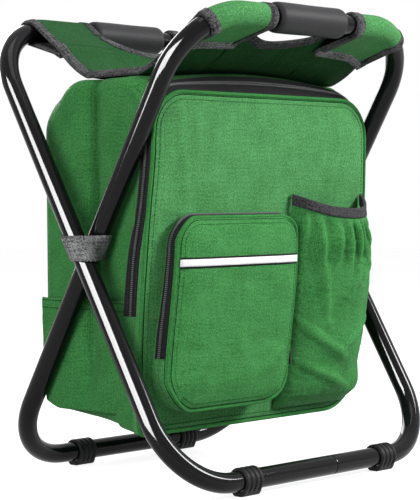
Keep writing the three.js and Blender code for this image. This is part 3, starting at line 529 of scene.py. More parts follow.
def hoop_path(half):
    """A hoop's centre line in its plane, with the size of the tube, which dips at its seam."""
    pts, size = [], []
    cx, top, low = half - BEND_R, LEG_UP - BEND_R, BEND_R - LEG_DOWN

    def corner(x, z, a0):
        for a in np.radians(np.linspace(a0, a0 + 90, 22)):
            pts.append((x + BEND_R * math.cos(a), z + BEND_R * math.sin(a)))
            size.append(1.0)

    corner(cx, top, 0)
    corner(-cx, top, 90)
    corner(-cx, low, 180)
    dip = ((-2.5, 1.0), (-0.9, 1.0), (-0.35, 0.985), (-0.15, 0.93))
    for x, s in dip + tuple((-x, s) for x, s in dip[::-1]):
        pts.append((TUBE_SEAM_X + x, -LEG_DOWN))
        size.append(s)
    corner(cx, low, 270)
    return np.array(pts), np.array(size)


def make_hoop(name, half, lean, body, node):
    flat, size = hoop_path(half)
    path = on_hoop(flat[:, 0], flat[:, 1], lean)
    normal = np.cross([1, 0, 0], [0, lean * math.sin(TILT), math.cos(TILT)])
    obj = sweep(name, path, circle(TUBE_R, 40), PAINT, normal, closed=True, scale=size)
    return place(obj, body, "paint", node)


hoops = [make_hoop("outer_hoop", OUTER_HALF, 1, "outer_frame", "outer_hoop_tube"),
         make_hoop("inner_hoop", INNER_HALF, -1, "inner_frame", "inner_hoop_tube")]


def make_grip(name, lean, body, node):
    """A foam sleeve with rounded ends."""
    half, r, sides = 47.0, 14.5, 48
    end = [(0, TUBE_R + 0.2), (0, r - 3.2), (0.3, r - 2.0), (1.1, r - 0.9), (2.2, r - 0.3), (3.4, r - 0.05)]
    off, end_r = np.array(end).T
    straight = np.linspace(6 - half, half - 6, 25)
    xs = np.concatenate([off - half, straight, (half - off)[::-1]])
    rr = np.concatenate([end_r, r + 0.12 * ripple(straight, straight * 0, 4, 60), end_r[::-1]])[:, None]
    a = np.arange(sides) * 2 * math.pi / sides
    c = on_hoop(0, LEG_UP, lean)
    x = np.broadcast_to(xs[:, None] + GRIP_X, (len(xs), sides))
    obj = turned(name, np.stack([x, c[1] + rr * np.cos(a), c[2] + rr * np.sin(a)], -1), FOAM)
    place(obj, body, "grip", node)


make_grip("rear_foam_grip", 1, "outer_frame", "rear_grip")
make_grip("front_foam_grip", -1, "inner_frame", "front_grip")


def make_foot(name, x, y, body, node):
    """A ribbed sleeve, flat below."""
    half, core, rib = 11.0, 11.2, 12.4
    xs, rr = [-half, -half, -half + 0.4], [TUBE_R + 0.3, rib - 1.0, rib - 0.25]
    pitch = (2 * half - 3.6) / 3
    for k in range(4):
        a = -half + k * pitch
        xs += [a + 0.9, a + 2.7, a + 3.3]
        rr += [rib, rib, rib - 0.3]
        if k < 3:
            xs += [a + 3.7, a + pitch - 0.3, a + pitch + 0.3]
            rr += [core, core, rib - 0.3]
    xs += [half - 0.05, half, half]
    rr += [rib - 0.6, rib - 1.2, TUBE_R + 0.3]
    sole = [(8.3, 4.2), (7.0, 1.8), (5.6, 0.4), (4.0, 0.0)]
    rows = []
    for r in rr:
        flat = r > TUBE_R + 0.6
        a = np.radians(np.linspace(-38, 218, 35))
        if not flat:
            a = np.concatenate([a, np.radians(np.linspace(224, 316, 9))])
        section = [(r * math.cos(t), FOOT_AXIS_Z + r * math.sin(t)) for t in a]
        if flat:
            section += [(-s, z) for s, z in sole] + [(0.0, 0.0)] + sole[::-1]
        rows.append(section)
    rows = np.array(rows)
    xs = np.broadcast_to(np.array(xs)[:, None] + x, rows.shape[:2])
    place(turned(name, np.stack([xs, rows[..., 0] + y, rows[..., 1]], -1), RUBBER), body, "rubber", node)


BASE_Y = LEG_DOWN * math.sin(TILT)
for end, y, body, left, right in (("front", -BASE_Y, "outer_frame", -96.0, 101.0),
                                  ("rear", BASE_Y, "inner_frame", -68.0, 80.0)):
    make_foot(f"{end}_left_ribbed_foot", left, y, body, f"{end}_left_foot")
    make_foot(f"{end}_right_ribbed_foot", right, y, body, f"{end}_right_foot")


# Form of the bag
def drawn_fold(u, v, a, b, width, high):
    """A ridge of cloth along a line between two places of a panel, as shares of its width and height."""
    (u0, v0), (u1, v1) = a, b
    du, dv = u1 - u0, v1 - v0
    t = np.clip(((u - u0) * du + (v - v0) * dv) / (du * du + dv * dv), 0, 1)
    off = np.hypot((u - u0 - t * du) * 0.62, v - v0 - t * dv)
    return high * np.exp(-(off / width) ** 2) * np.sin(math.pi * np.clip(t, 0.04, 0.96)) ** 0.5


FRONT_Y = -60.0
REAR_Y = 84.0
FULL_DEPTH = REAR_Y - FRONT_Y
TOP_R = 38.0
LOW_R = 15.0
LOW_LEFT_R = 7.0
LOW_RIGHT_R = 46.0
CREASE_Y = 25.0
FOLD_DEEP = 14.0
ZIP_END = PIVOT - 65.0
ZIP_MID = 8.0
FLAP_Z = PIVOT + 52.0
N_SIDE = 66
N_CORNER = 13
N_TOP = 44
N_LOW = 9


def front_y(z):
    return flow(np.asarray(z) - PIVOT, [-200, -172, -120, -55, 31, 60, 88, 160],
                [-47, -47.5, -52, -57.5, -63, -66, -68, -68.5], 30)


def edge_half(z):
    """Half width of the bag along its front edge."""
    return flow(np.asarray(z) - PIVOT, [-180, -150, -100, -55, 20, 60, 85, 160],
                [155, 156.5, 158.5, 159.5, 156.5, 154, 152.6, 152.4], 25)


def wall_half(y, z):
    """Half width of the side walls: a band along the front edge, a recess behind it and an upright crease."""
    rel = np.asarray(z) - PIVOT
    deep = 9.5 * (1 - ease(-20, 118, rel) * 0.55) * ease(-176, -120, rel)
    back = y - front_y(z)
    crease = 151.0 - deep
    t = np.clip((back - 26) / (CREASE_Y - front_y(z) - 26), 0, 1)
    s = np.clip((y - CREASE_Y) / (REAR_Y - CREASE_Y), 0, 1)
    inner = 149.0 + (crease - 149.0) * t ** 1.3 + 1.6 * np.sin(math.pi * t)
    front = edge_half(z) - 0.7 * ease(0, 20, back) + (inner - edge_half(z) + 0.7) * ease(20, 31, back)
    fold = FOLD_DEEP * ease(-150, -60, rel) * (1 - 0.5 * ease(138, 158, rel))
    front = front - fold * np.exp(-np.abs(y - CREASE_Y) / 6.0)
    rear = crease + (151.0 - crease) * s ** 0.6 + 2.2 * np.sin(math.pi * s)
    rear = rear - fold * np.exp(-np.abs(y - CREASE_Y) / 1.8)
    return np.where(y < CREASE_Y, front, rear)


def top_of(depth):
    return float(PIVOT + flow(depth, [-5, 0, 4, 8, 14, 22, 32, 100, 118, 132, 150],
                              [140, 140, 143, 146.5, 151, 154.6, 156.4, 156.4, 153.5, 148.5, 141], 5))


def low_of(depth):
    return float(PIVOT + flow(depth, [-20, 0, 15, 70, 120, 160],
                              [-176, -175.5, -174, -166, -161.5, -157], 22))


def top_hump(x, depth):
    """The padded top stands highest in the middle, just in front of the sling."""
    return 8.0 * np.clip(1 - (x / 118.0) ** 2, 0, 1) * float(ease(1, 13, depth) * (1 - ease(22, 46, depth)))


def ring(depth):
    """The bag's outline a given depth behind its front edge, from the bottom left up, over and round."""
    y0 = FRONT_Y + depth
    zt, zb = top_of(depth), low_of(depth)
    near = 1 - float(ease(6, 50, depth))
    r = TOP_R - 27.0 * float(ease(8, 40, depth) * (1 - ease(102, 140, depth)))
    shoulder = float(wall_half(y0, zt - r))
    a = np.linspace(math.pi, math.pi / 2, N_CORNER + 2)[1:-1]
    arch = np.stack([-shoulder + r + r * np.cos(a), zt - r + r * np.sin(a)], 1)
    b = np.linspace(0, -math.pi / 2, N_LOW + 2)[1:-1]
    mirror = np.array([-1.0, 1.0])
    walls, corners, heels = [], [], []
    for front_heel in (LOW_LEFT_R, LOW_RIGHT_R):
        heel = LOW_R + (front_heel - LOW_R) * near
        z = np.linspace(zb + heel, zt - r, N_SIDE)
        walls.append(np.stack([wall_half(y0, z), z], 1))
        half = float(wall_half(y0, zb + heel))
        heels.append(half - heel)
        corners.append(np.stack([half - heel + heel * np.cos(b), zb + heel + heel * np.sin(b)], 1))
    tx = np.linspace(-shoulder + r, shoulder - r, N_TOP)
    top = np.stack([tx, zt + top_hump(tx, depth)], 1)
    bx = np.linspace(heels[1], -heels[0], N_TOP)
    sag = 3.0 * (1 - (bx / 150.0) ** 2) * ease(0, 30, depth)
    low = np.stack([bx, zb - sag], 1)
    pts = np.concatenate([walls[0] * mirror, arch, top, arch[::-1] * mirror,
                          walls[1][::-1], corners[1], low, corners[0][::-1] * mirror])
    fy = front_y(pts[:, 1])
    return np.stack([pts[:, 0], fy + depth * (REAR_Y - fy) / FULL_DEPTH, pts[:, 1]], 1)


RING_OVER = slice(0, 2 * N_SIDE + 2 * N_CORNER + N_TOP)


def outward(p):
    t = unit(np.roll(p, -1, 0) - np.roll(p, 1, 0))
    return unit(np.stack([-t[:, 2], np.zeros(len(t)), t[:, 0]], 1))


def gusset_ring(depth):
    """A ring of the side cloth with its unevenness."""
    p = ring(depth)
    uneven = 0.9 * ripple(p[:, 1], p[:, 2], 11, 70) + 0.5 * ripple(p[:, 1], p[:, 2], 12, 28)
    return p + outward(p) * uneven[:, None] * ease(4, 20, depth) * 0.8


def rounded_ring(depth, inset):
    p = ring(depth)
    return p - outward(p) * inset


BACK_R = 7
depths = np.concatenate([[ZIP_MID, 10, 12, 14.5, 17], np.arange(20, 74, 3.0), np.arange(74, 92, 1.2),
                         np.arange(92, FULL_DEPTH - 8, 3.2), [FULL_DEPTH - BACK_R]])
rows = [gusset_ring(d) for d in depths]
for a in np.arange(1, 7) / 6 * math.pi / 2:
    rows.append(rounded_ring(FULL_DEPTH - BACK_R + BACK_R * math.sin(a), BACK_R * (1 - math.cos(a))))
# The side walls take the darker copy of the green, with its painted shade.
gusset = wrap_round("bag_gusset_shell", rows, GREEN_PAINTED_SHADE, 1.2, BLACK)
place(gusset, "bag", "cloth", "left_side_panel", "right_side_panel", "top_panel", "bottom_panel")


# Front of the bag
def panel_rows(z0, z1, r0, r1, middle):
    """Heights for a panel with rounded lower and upper corners."""
    a = np.linspace(0, math.pi / 2, 10)
    low = z0 + r0 * (1 - np.cos(a))
    high = z1 - r1 * (1 - np.sin(a))
    return np.concatenate([low, np.linspace(z0 + r0, z1 - r1, middle)[1:-1], high])


def corner_cut(z, z0, z1, r0, r1):
    """How far a rounded outline is drawn in at each height."""
    low = np.clip((z0 + r0 - z) / max(r0, 1e-6), 0, 1)
    high = np.clip((z - z1 + r1) / max(r1, 1e-6), 0, 1)
    return r0 * (1 - np.sqrt(1 - low ** 2)) + r1 * (1 - np.sqrt(1 - high ** 2))


def spread(z, left, right, places):
    """Grids of x and z over a panel, from its edges at each height."""
    x = (left + right) / 2 + places[:, None] * ((right - left) / 2)[None]
    return x, np.broadcast_to(z, x.shape)


FRONT_TOP = top_of(0)
FRONT_LOW = low_of(0)
FRONT_TALL = FRONT_TOP - FRONT_LOW


def front_left(z):
    return corner_cut(z, FRONT_LOW, FRONT_TOP, LOW_LEFT_R, TOP_R) - edge_half(z)


def front_right(z):
    return edge_half(z) - corner_cut(z, FRONT_LOW, FRONT_TOP, LOW_RIGHT_R, TOP_R)


# Folds: both ends as shares of the panel, width and height
FRONT_FOLDS = [((0.10, 0.97), (0.13, 0.72), 0.012, 1.6), ((0.17, 0.98), (0.19, 0.80), 0.010, 1.3),
               ((0.27, 0.98), (0.24, 0.74), 0.014, 1.4), ((0.52, 0.98), (0.55, 0.82), 0.016, 1.2),
               ((0.86, 0.96), (0.78, 0.70), 0.016, 1.6), ((0.05, 0.66), (0.30, 0.60), 0.016, 1.2)]
POCKET_FOLDS = [((0.04, 0.05), (0.34, 0.36), 0.045, 1.8), ((0.66, 0.08), (0.48, 0.44), 0.045, 1.6),
                ((0.30, 0.97), (0.20, 0.74), 0.035, 1.6), ((0.90, 0.70), (0.62, 0.52), 0.040, 1.4),
                ((0.93, 0.30), (0.70, 0.16), 0.035, 1.4)]
BOTTLE_FOLDS = [((0.16, 0.97), (0.36, 0.42), 0.028, 5.0), ((0.44, 0.95), (0.30, 0.60), 0.024, 4.0),
                ((0.88, 0.96), (0.52, 0.56), 0.028, 5.0), ((0.97, 0.82), (0.66, 0.62), 0.024, 4.0),
                ((0.64, 0.98), (0.62, 0.74), 0.02, 3.5), ((0.10, 0.42), (0.62, 0.22), 0.032, 4.0),
                ((0.95, 0.45), (0.50, 0.28), 0.028, 3.5), ((0.16, 0.22), (0.72, 0.07), 0.028, 3.5),
                ((0.80, 0.72), (0.90, 0.26), 0.028, 4.0)]


def front_surface(x, z):
    """The padded front of the bag, which dips beside its piping."""
    inside = np.minimum(x - front_left(z), front_right(z) - x)
    edge = np.clip(inside / 150, 0, 1)
    tall = np.clip(np.minimum(z - FRONT_LOW, FRONT_TOP - z) / 60, 0, 1)
    crown = 4.0 * (1 - (1 - np.clip(edge / 0.35, 0, 1)) ** 2.2) * (1 - (1 - tall) ** 2.2)
    dip = 2.0 * (1 - ease(0, 3.6, np.minimum(inside, tall * 60)))
    wave = 0.8 * ripple(x, z, 21, 90) + 0.35 * ripple(x, z, 22, 34)
    wave = wave + sum(drawn_fold((x + 155) / 310, (z - FRONT_LOW) / FRONT_TALL, *f) for f in FRONT_FOLDS)
    return front_y(z) - crown + dip - wave * np.clip(edge / 0.1, 0, 1) * np.clip(tall / 0.2, 0, 1)


def front_grid(inset=0.0, columns=96):
    z = panel_rows(FRONT_LOW + inset, FRONT_TOP - inset, LOW_RIGHT_R, TOP_R, 88)
    inner = FRONT_LOW + (z - FRONT_LOW - inset) * FRONT_TALL / (FRONT_TALL - 2 * inset)
    x, zz = spread(z, front_left(inner) + inset, front_right(inner) - inset, crowded(columns, 0.94))
    return np.stack([x, front_surface(x, zz), zz], -1)


FRONT_BEND = ("bag", "flap", (0, -65, FLAP_Z - 9), (0, -65, FLAP_Z + 14))
p = front_grid()
p = settle(p, np.maximum(sewn_edges(*p.shape[:2], first=3), 0.25), pressure=0.9, spare=0.004, cap=3.0)
front = cloth("front_cloth_panel", p, 1.4, GREEN_PAINTED_SHEEN, lining=BLACK, plan=p[..., [0, 2]])
place(front, FRONT_BEND, "cloth", "front_panel", "front_flap")
p = front_grid(inset=7.0, columns=40)
p[..., 1] += 7.5
lining = cloth("front_foam_lining", p, 4.5, LINER, out=-1, plan=p[..., [0, 2]])
place(lining, FRONT_BEND, "foam", "front_foam", "flap_foam")


def outline(z0, z1, r0, r1, left, right, surface, r0_right=None):
    """A closed line round a panel with rounded corners: points on its surface."""
    r0_right = r0 if r0_right is None else r0_right
    zs = panel_rows(z0, z1, max(r0, r0_right), r1, 60)
    lx = left(zs) + corner_cut(zs, z0, z1, r0, r1)
    rx = right(zs) - corner_cut(zs, z0, z1, r0_right, r1)
    pts = list(zip(lx, zs))
    pts += [(x, z1) for x in np.linspace(lx[-1], rx[-1], 40)[1:-1]]
    pts += list(zip(rx[::-1], zs[::-1]))
    pts += [(x, z0) for x in np.linspace(rx[0], lx[0], 40)[1:-1]]
    pts = np.array(pts)
    x, z = pts[np.append(True, np.linalg.norm(np.diff(pts, axis=0), axis=1) > 0.05)].T
    return np.stack([x, surface(x, z), z], 1)


def front_line(inset, surface):
    return outline(FRONT_LOW + inset, FRONT_TOP - inset, max(LOW_LEFT_R - inset, 4), TOP_R - inset,
                   lambda z: inset - edge_half(z), lambda z: edge_half(z) - inset, surface,
                   r0_right=LOW_RIGHT_R - inset)


edge = front_line(0.0, lambda x, z: front_y(z) + 0.2)
piping("front_edge_piping", edge, 1.9, 10, GREEN_EDGE, FRONT_BEND, "flap_piping", "lower_piping")
# A thin dark cord in the groove beside the front piping: painted shade of the groove.
edge = front_line(2.7, lambda x, z: front_surface(x, z) - 0.5)
piping("front_seam_shade_cord", edge, 0.5, 6, THREAD_AND_SEAM_SHADE, FRONT_BEND)
edge = front_line(7.0, lambda x, z: front_surface(x, z) - 0.75)
topstitch("front_topstitch", edge, 3.4, 2.5, FRONT_BEND)

LEFT_DRIFT = 5.0
RIGHT_BOW = 5.0


def rail(depth, lift, back=LEFT_DRIFT, bow=1.0):
    """A line along the front edge, from the left zip end over the top to the right one, and its normals.

    The left end drifts back low down. The right side bows back higher up, so that its slider runs straight.
    """
    p = ring(depth)
    left = p[:, 0] < 0
    z = p[:, 2]
    low = 1 - ease(-25, 45, z - PIVOT)
    high = bow * ease(150, 262, z) * (1 - ease(275, 345, z))
    there = np.where(left[:, None], ring(depth + back), ring(depth + RIGHT_BOW))
    p = p + (there - p) * np.where(left, low, high)[:, None]
    n = outward(p)[RING_OVER]
    p = p[RING_OVER]
    up = np.flatnonzero(p[:, 2] >= ZIP_END)
    ends = []
    for a, b in ((up[0] - 1, up[0]), (up[-1] + 1, up[-1])):
        ends.append(p[a] + (p[b] - p[a]) * (ZIP_END - p[a, 2]) / (p[b, 2] - p[a, 2]))
    p = np.concatenate([ends[:1], p[up], ends[1:]])
    n = np.concatenate([n[up[:1]], n[up], n[up[-1:]]])
    s = run_of(p)
    at = np.linspace(0, s[-1], 180)
    n = unit(sample(at, s, n))
    return sample(at, s, p) + n * lift, n


def tape_strip(name, d0, d1, lift, widen=0.0, first_bow=1.0):
    """A zip tape between two depths. Its outer column can drift further back, its first one bow less."""
    cols = []
    for k in np.linspace(0, 1, 5):
        bow = first_bow + (1 - first_bow) * k
        cols.append(rail(d0 + (d1 - d0) * k, lift, LEFT_DRIFT + widen * k, bow)[0])
    return cloth(name, np.array(cols), 1.0, TAPE)


bag_tape = tape_strip("main_zip_bag_side", ZIP_MID + 0.4, ZIP_MID + 6.5, 0.9, widen=4.0)
place(bag_tape, "bag", "zip", "main_zip_bag_tape")
flap_tape = tape_strip("main_zip_front_side", 1.4, ZIP_MID - 0.4, 0.3, first_bow=0.0)
place(flap_tape, FRONT_BEND, "zip", "main_zip_flap_tape", "main_zip_left_tape", "main_zip_right_tape")
TOOTH = (1.9, (1.2, 1.5, 1.7), TEETH)
STITCH = (3.4, (2.3, 0.6, 0.5), GREY_THREAD)
for name, d, lift, bow, kind, body in (("main_zip_bag_teeth", ZIP_MID + 0.55, 1.1, 1.0, TOOTH, "bag"),
                                       ("main_zip_front_teeth", ZIP_MID - 0.55, 1.1, 1.0, TOOTH, FRONT_BEND),
                                       ("main_zip_bag_stitch", ZIP_MID + 5.6, 1.3, 1.0, STITCH, "bag"),
                                       ("main_zip_front_stitch", 2.6, 1.3, 0.2, STITCH, FRONT_BEND)):
    place(studs(name, *rail(d, lift, bow=bow), *kind), body, "zip")

# The strip of gusset in front of the zip line, below the flap and across the bottom
RING_COUNT = len(ring(0))
RING_RIGHT = RING_COUNT - 2 * N_LOW - N_TOP - N_SIDE
low_part = np.concatenate([np.arange(RING_RIGHT, RING_COUNT), np.arange(0, N_SIDE)])
strip = np.array([ring(d)[low_part] for d in (0.6, 2.5, 5.0, ZIP_MID + 0.5)])
strip = strip[:, strip[0][:, 2] <= FLAP_Z - 12]
place(cloth("lower_gusset_strip", strip, 1.2, GREEN_PAINTED_SHEEN, out=-1, lining=BLACK), "bag", "cloth")

# Back of the bag
BACK_HALF = 146.5
BACK = (low_of(FULL_DEPTH) + 5, top_of(FULL_DEPTH) - 5, LOW_R, TOP_R - 5)
z = panel_rows(*BACK, 70)
half = BACK_HALF - corner_cut(z, *BACK)
x, zz = spread(z, -half, half, np.linspace(-1, 1, 70))
edge_in = np.clip((half[None] - np.abs(x)) / 40, 0, 1)
edge_in = edge_in * np.clip(np.minimum(zz - BACK[0], BACK[1] - zz) / 40, 0, 1)
y = REAR_Y - 1 + 4.0 * (1 - (1 - edge_in) ** 2) + 0.8 * ripple(x, zz, 31, 80) * edge_in
back = cloth("back_cloth_panel", np.stack([x, y, zz], -1), 1.4, GREEN_PAINTED_SHEEN, out=-1, lining=BLACK,
             plan=np.stack([x, zz], -1))
place(back, "bag", "cloth", "back_panel")
edge = outline(*BACK, lambda z: 0 * z - BACK_HALF, lambda z: 0 * z + BACK_HALF,
               lambda x, z: 0 * x + REAR_Y - 0.5)
piping("back_edge_piping", edge, 2.0, 10, GREEN_EDGE, "bag", up=-AWAY)

# Film liner over the foam boards
rows = [rounded_ring(d, 8.5) for d in np.linspace(ZIP_MID + 3, FULL_DEPTH - 9, 20)]
middle = rows[-1].mean(0)
rows += [middle + (rows[-1] - middle) * k for k in (0.93, 0.7, 0.4, 0.05)]
liner = wrap_round("cooler_liner", rows, LINER, 4.0)
place(liner, "bag", "liner", "left_foam", "right_foam", "back_foam", "bottom_foam", "top_foam", "liner_tray")

# Zipped front pocket
POCKET_LOW = PIVOT - 154.0
POCKET_TOP = PIVOT + 25.0
POCKET_LOW_R = 36.0
POCKET_TOP_R = 24.0
POCKET_HINGE = PIVOT - 104.0
POCKET_BEND = ("bag", "pocket_front", (0, -82, POCKET_HINGE - 6), (0, -82, POCKET_HINGE + 10))


def pocket_left(z):
    return -145.0 + 13.0 * ease(POCKET_LOW + 20, POCKET_TOP, z)


def pocket_right(z):
    return 19.0 + 14.0 * ease(POCKET_LOW, POCKET_TOP - 20, z)


def pocket_face_y(x, z):
    left, right = pocket_left(z), pocket_right(z)
    side = np.minimum(x - left, right - x)
    end = np.minimum(z - POCKET_LOW, POCKET_TOP - z)
    a, b = np.clip(side / 34, 0, 1), np.clip(end / 34, 0, 1)
    round_edge = (1 - (1 - a) ** 2.4) * (1 - (1 - b) ** 2.4)
    base = flow(z - PIVOT, [-160, -100, -20, 30], [-73, -77, -79, -78.5], 30)
    dip = 1.6 * (1 - ease(0, 3.4, np.minimum(side, end)))
    u, v = (x - left) / (right - left), (z - POCKET_LOW) / (POCKET_TOP - POCKET_LOW)
    wave = 0.7 * ripple(x, z, 41, 60) + 0.4 * ripple(x, z, 42, 24)
    wave = wave + sum(drawn_fold(u, v, *f) for f in POCKET_FOLDS)
    return base + dip - 7.0 * round_edge - wave * round_edge


z = panel_rows(POCKET_LOW, POCKET_TOP, POCKET_LOW_R, POCKET_TOP_R, 64)
cut = corner_cut(z, POCKET_LOW, POCKET_TOP, POCKET_LOW_R, POCKET_TOP_R)
x, zz = spread(z, pocket_left(z) + cut, pocket_right(z) - cut, crowded(66, 0.9))
p = np.stack([x, pocket_face_y(x, zz), zz], -1)
p = settle(p, np.maximum(sewn_edges(*p.shape[:2], first=3), 0.2), pressure=0.8, spare=0.005, cap=3.0)
pocket = cloth("pocket_face_cloth", p, 1.4, GREEN_PAINTED_SHADE, lining=BLACK, plan=p[..., [0, 2]])
place(pocket, POCKET_BEND, "cloth", "pocket_flap")


def pocket_line(inset, behind):
    """A closed line on the pocket's face, some way in from its edge and behind its surface."""
    return outline(POCKET_LOW + inset, POCKET_TOP - inset,
                   POCKET_LOW_R - inset * 0.7, POCKET_TOP_R - inset * 0.7,
                   lambda z: pocket_left(z) + inset, lambda z: pocket_right(z) - inset,
                   lambda x, z: pocket_face_y(x, z) + behind)


piping("pocket_edge_piping", pocket_line(0.0, -0.6), 1.8, 10, GREEN_EDGE, POCKET_BEND)
# Thin dark cords on both sides of the pocket's piping: painted shade of the grooves.
piping("pocket_inner_seam_shade_cord", pocket_line(2.6, -0.5), 0.5, 6, THREAD_AND_SEAM_SHADE, POCKET_BEND)
piping("pocket_outer_seam_shade_cord", pocket_line(-0.6, 2.4), 0.5, 6, THREAD_AND_SEAM_SHADE, POCKET_BEND)
topstitch("pocket_topstitch", pocket_line(6.4, -0.75), 3.2, 2.4, POCKET_BEND)


def pocket_wall(f0, f1, lift=0.0, zip_part=False, rows=6):
    """Points of the pocket's side wall between two shares of the way from the bag to the pocket's front."""
    line = pocket_line(0.4, 0.0)
    face = pocket_face_y(line[:, 0], line[:, 2])
    wall = front_surface(line[:, 0], line[:, 2])
    line[:, 1] = 0
    n = outward(line)
    out = []
    for f in np.linspace(f0, f1, rows):
        q = line + n * (lift + 1.2 * math.sin(math.pi * f))
        q[:, 1] = wall + (face - wall) * f
        out.append(q)
    p = np.array(out)
    if not zip_part:
        return np.concatenate([p, p[:, :1]], 1), n
    keep = line[:, 2] >= POCKET_HINGE
    jump = np.flatnonzero(np.abs(np.diff(p[0][keep][:, 0])) > 60)
    turn = -(int(jump[0]) + 1) if len(jump) else 0
    return np.roll(p[:, keep], turn, axis=1), np.roll(n[keep], turn, axis=0)


def wall_cloth(name, thick, mat, *span):
    return cloth(name, pocket_wall(*span)[0], thick, mat, out=-1)


wall = wall_cloth("pocket_gusset_cloth", 1.2, GREEN_PAINTED_SHEEN, 0.0, 0.50)
place(wall, "bag", "cloth", "pocket_gusset", "pocket_base")
place(wall_cloth("pocket_front_gusset", 1.2, GREEN_PAINTED_SHEEN, 0.52, 0.97), POCKET_BEND, "cloth")
place(wall_cloth("pocket_zip_bag_side", 0.9, TAPE, 0.16, 0.50, 0.9, True), "bag", "zip")
front_tape = wall_cloth("pocket_zip_front_side", 0.9, TAPE, 0.52, 0.84, 0.9, True)
place(front_tape, POCKET_BEND, "zip", "pocket_zip_tape")
for name, f, body in (("pocket_zip_bag_teeth", 0.475, "bag"), ("pocket_zip_front_teeth", 0.545, POCKET_BEND)):
    line, n = pocket_wall(f, f, 1.35, True, rows=1)
    place(studs(name, line[0], n, 1.9, (1.2, 1.5, 1.6), TEETH), body, "zip")

STRIP_Z = PIVOT - 16.5


def strip_on_pocket(name, half, lift, mat):
    """A strip across the pocket's face."""
    z = np.linspace(STRIP_Z - half, STRIP_Z + half, 5)
    x, zz = spread(z, pocket_left(z) + 2, pocket_right(z) - 2, np.linspace(-1, 1, 60))
    p = np.stack([x, pocket_face_y(x, zz) - lift, zz], -1)
    return cloth(name, p, 0.7, mat, plan=p[..., [0, 2]])


place(strip_on_pocket("reflective_tape_border", 5.0, 1.0, BLACK), "pocket_front", "binding")
place(strip_on_pocket("reflective_tape", 3.3, 1.6, WHITE), "pocket_front", "reflective", "reflective_strip")

# Bottle pocket
BOTTLE_LEFT = 27.0
BOTTLE_LOW = PIVOT - 165.0
BOTTLE_COLUMNS = 96


def bottle_point(u, v):
    """u runs from the left to the right seam, v from the bottom to the rim."""
    rim = PIVOT + flow(u, [-0.1, 0, 0.1, 0.3, 0.55, 0.8, 0.93, 1.0, 1.1],
                       [46, 46, 41, 33, 30, 31, 37, 47, 47], 0.08)
    z = BOTTLE_LOW + v * (rim - BOTTLE_LOW)
    left = BOTTLE_LEFT - 3.5 * ease(0.4, 0.0, v) + 8.0 * ease(0.55, 1.0, v)
    right = flow(v, [-0.1, 0, 0.05, 0.13, 0.4, 0.75, 0.92, 1.0, 1.1],
                 [134, 134, 144, 149, 152, 153, 149, 145, 145], 0.05)
    swell = flow(u, [-0.1, 0, 0.08, 0.25, 0.5, 0.7, 0.86, 0.95, 1.0, 1.1],
                 [0, 0, 0.36, 0.78, 1.0, 0.9, 0.58, 0.27, 0, 0], 0.05)
    boxy = flow(u, [-0.1, 0, 0.1, 0.3, 0.6, 0.85, 0.94, 1.0, 1.1],
                [0, 0, 0.45, 0.85, 1.0, 0.96, 0.72, 0, 0], 0.05)
    swell = swell + (boxy - swell) * (1 - ease(0.02, 0.22, v))
    deep = flow(v, [-0.1, 0, 0.03, 0.09, 0.25, 0.5, 0.82, 0.95, 1.1],
                [4, 4, 16, 25, 30, 33, 36, 31, 29], 0.03)
    puckers = ease(0.62, 0.86, v) * (1 - ease(0.9, 0.955, v))
    gather = np.sin(u * 2 * math.pi * 9.0 + 1.8 * np.sin(u * 9)) * 3.0 * puckers
    folds = sum(drawn_fold(u, v, *f) for f in BOTTLE_FOLDS) - 1.2
    folds = (folds + 1.2 * ripple(u * 120, v * 200, 51, 55)) * ease(0.0, 0.12, v) * (1 - ease(0.9, 0.96, v))
    across = flow(u, [-0.1, 0, 0.1, 0.3, 0.55, 0.8, 0.9, 1.0, 1.1],
                  [0, 0, 0.06, 0.27, 0.55, 0.82, 0.92, 1.0, 1.0], 0.06)
    x = left + across * (right - left)
    bulge = 5.0 * ease(0.55, 1.0, u) * ease(0.1, 0.4, v) * (1 - ease(0.82, 1.0, v))
    bulge = bulge * np.sin(math.pi * np.clip(u, 0.5, 0.97))
    y = front_surface(np.minimum(x, front_right(z) - 4), z) - 0.8 - (deep + gather + folds) * swell
    return np.stack([x + bulge, y, z], -1)


def bottle_grid(v0, v1, rows):
    return np.meshgrid(np.linspace(0, 1, BOTTLE_COLUMNS), np.linspace(v0, v1, rows), indexing="ij")


uu, vv = bottle_grid(0, 1, 84)
hold = np.maximum(sewn_edges(*uu.shape, first=2, sides=(1, 1, 1, 0)), ease(0.90, 0.95, vv))
p = settle(bottle_point(uu, vv), np.maximum(hold, 0.3), gravity=0.4, pressure=0.3, spare=0.02, cap=3.0)
bottle = cloth("bottle_pocket_cloth", p, 1.3, GREEN_PAINTED_SHADE, lining=BLACK)
place(bottle, "bag", "cloth", "bottle_pocket")
rim = bottle_point(*bottle_grid(0.955, 1.006, 6))
binding = cloth("bottle_pocket_elastic", rim, 3.4, DARK_EDGE, lining=BLACK)
place(binding, "bag", "binding", "bottle_pocket_binding")

# Side pouches and pivot straps
POUCH_TOP = PIVOT - 52.0
POUCH_LOW = PIVOT - 158.0
POUCH_FRONT = -31
POUCH_BACK = 92


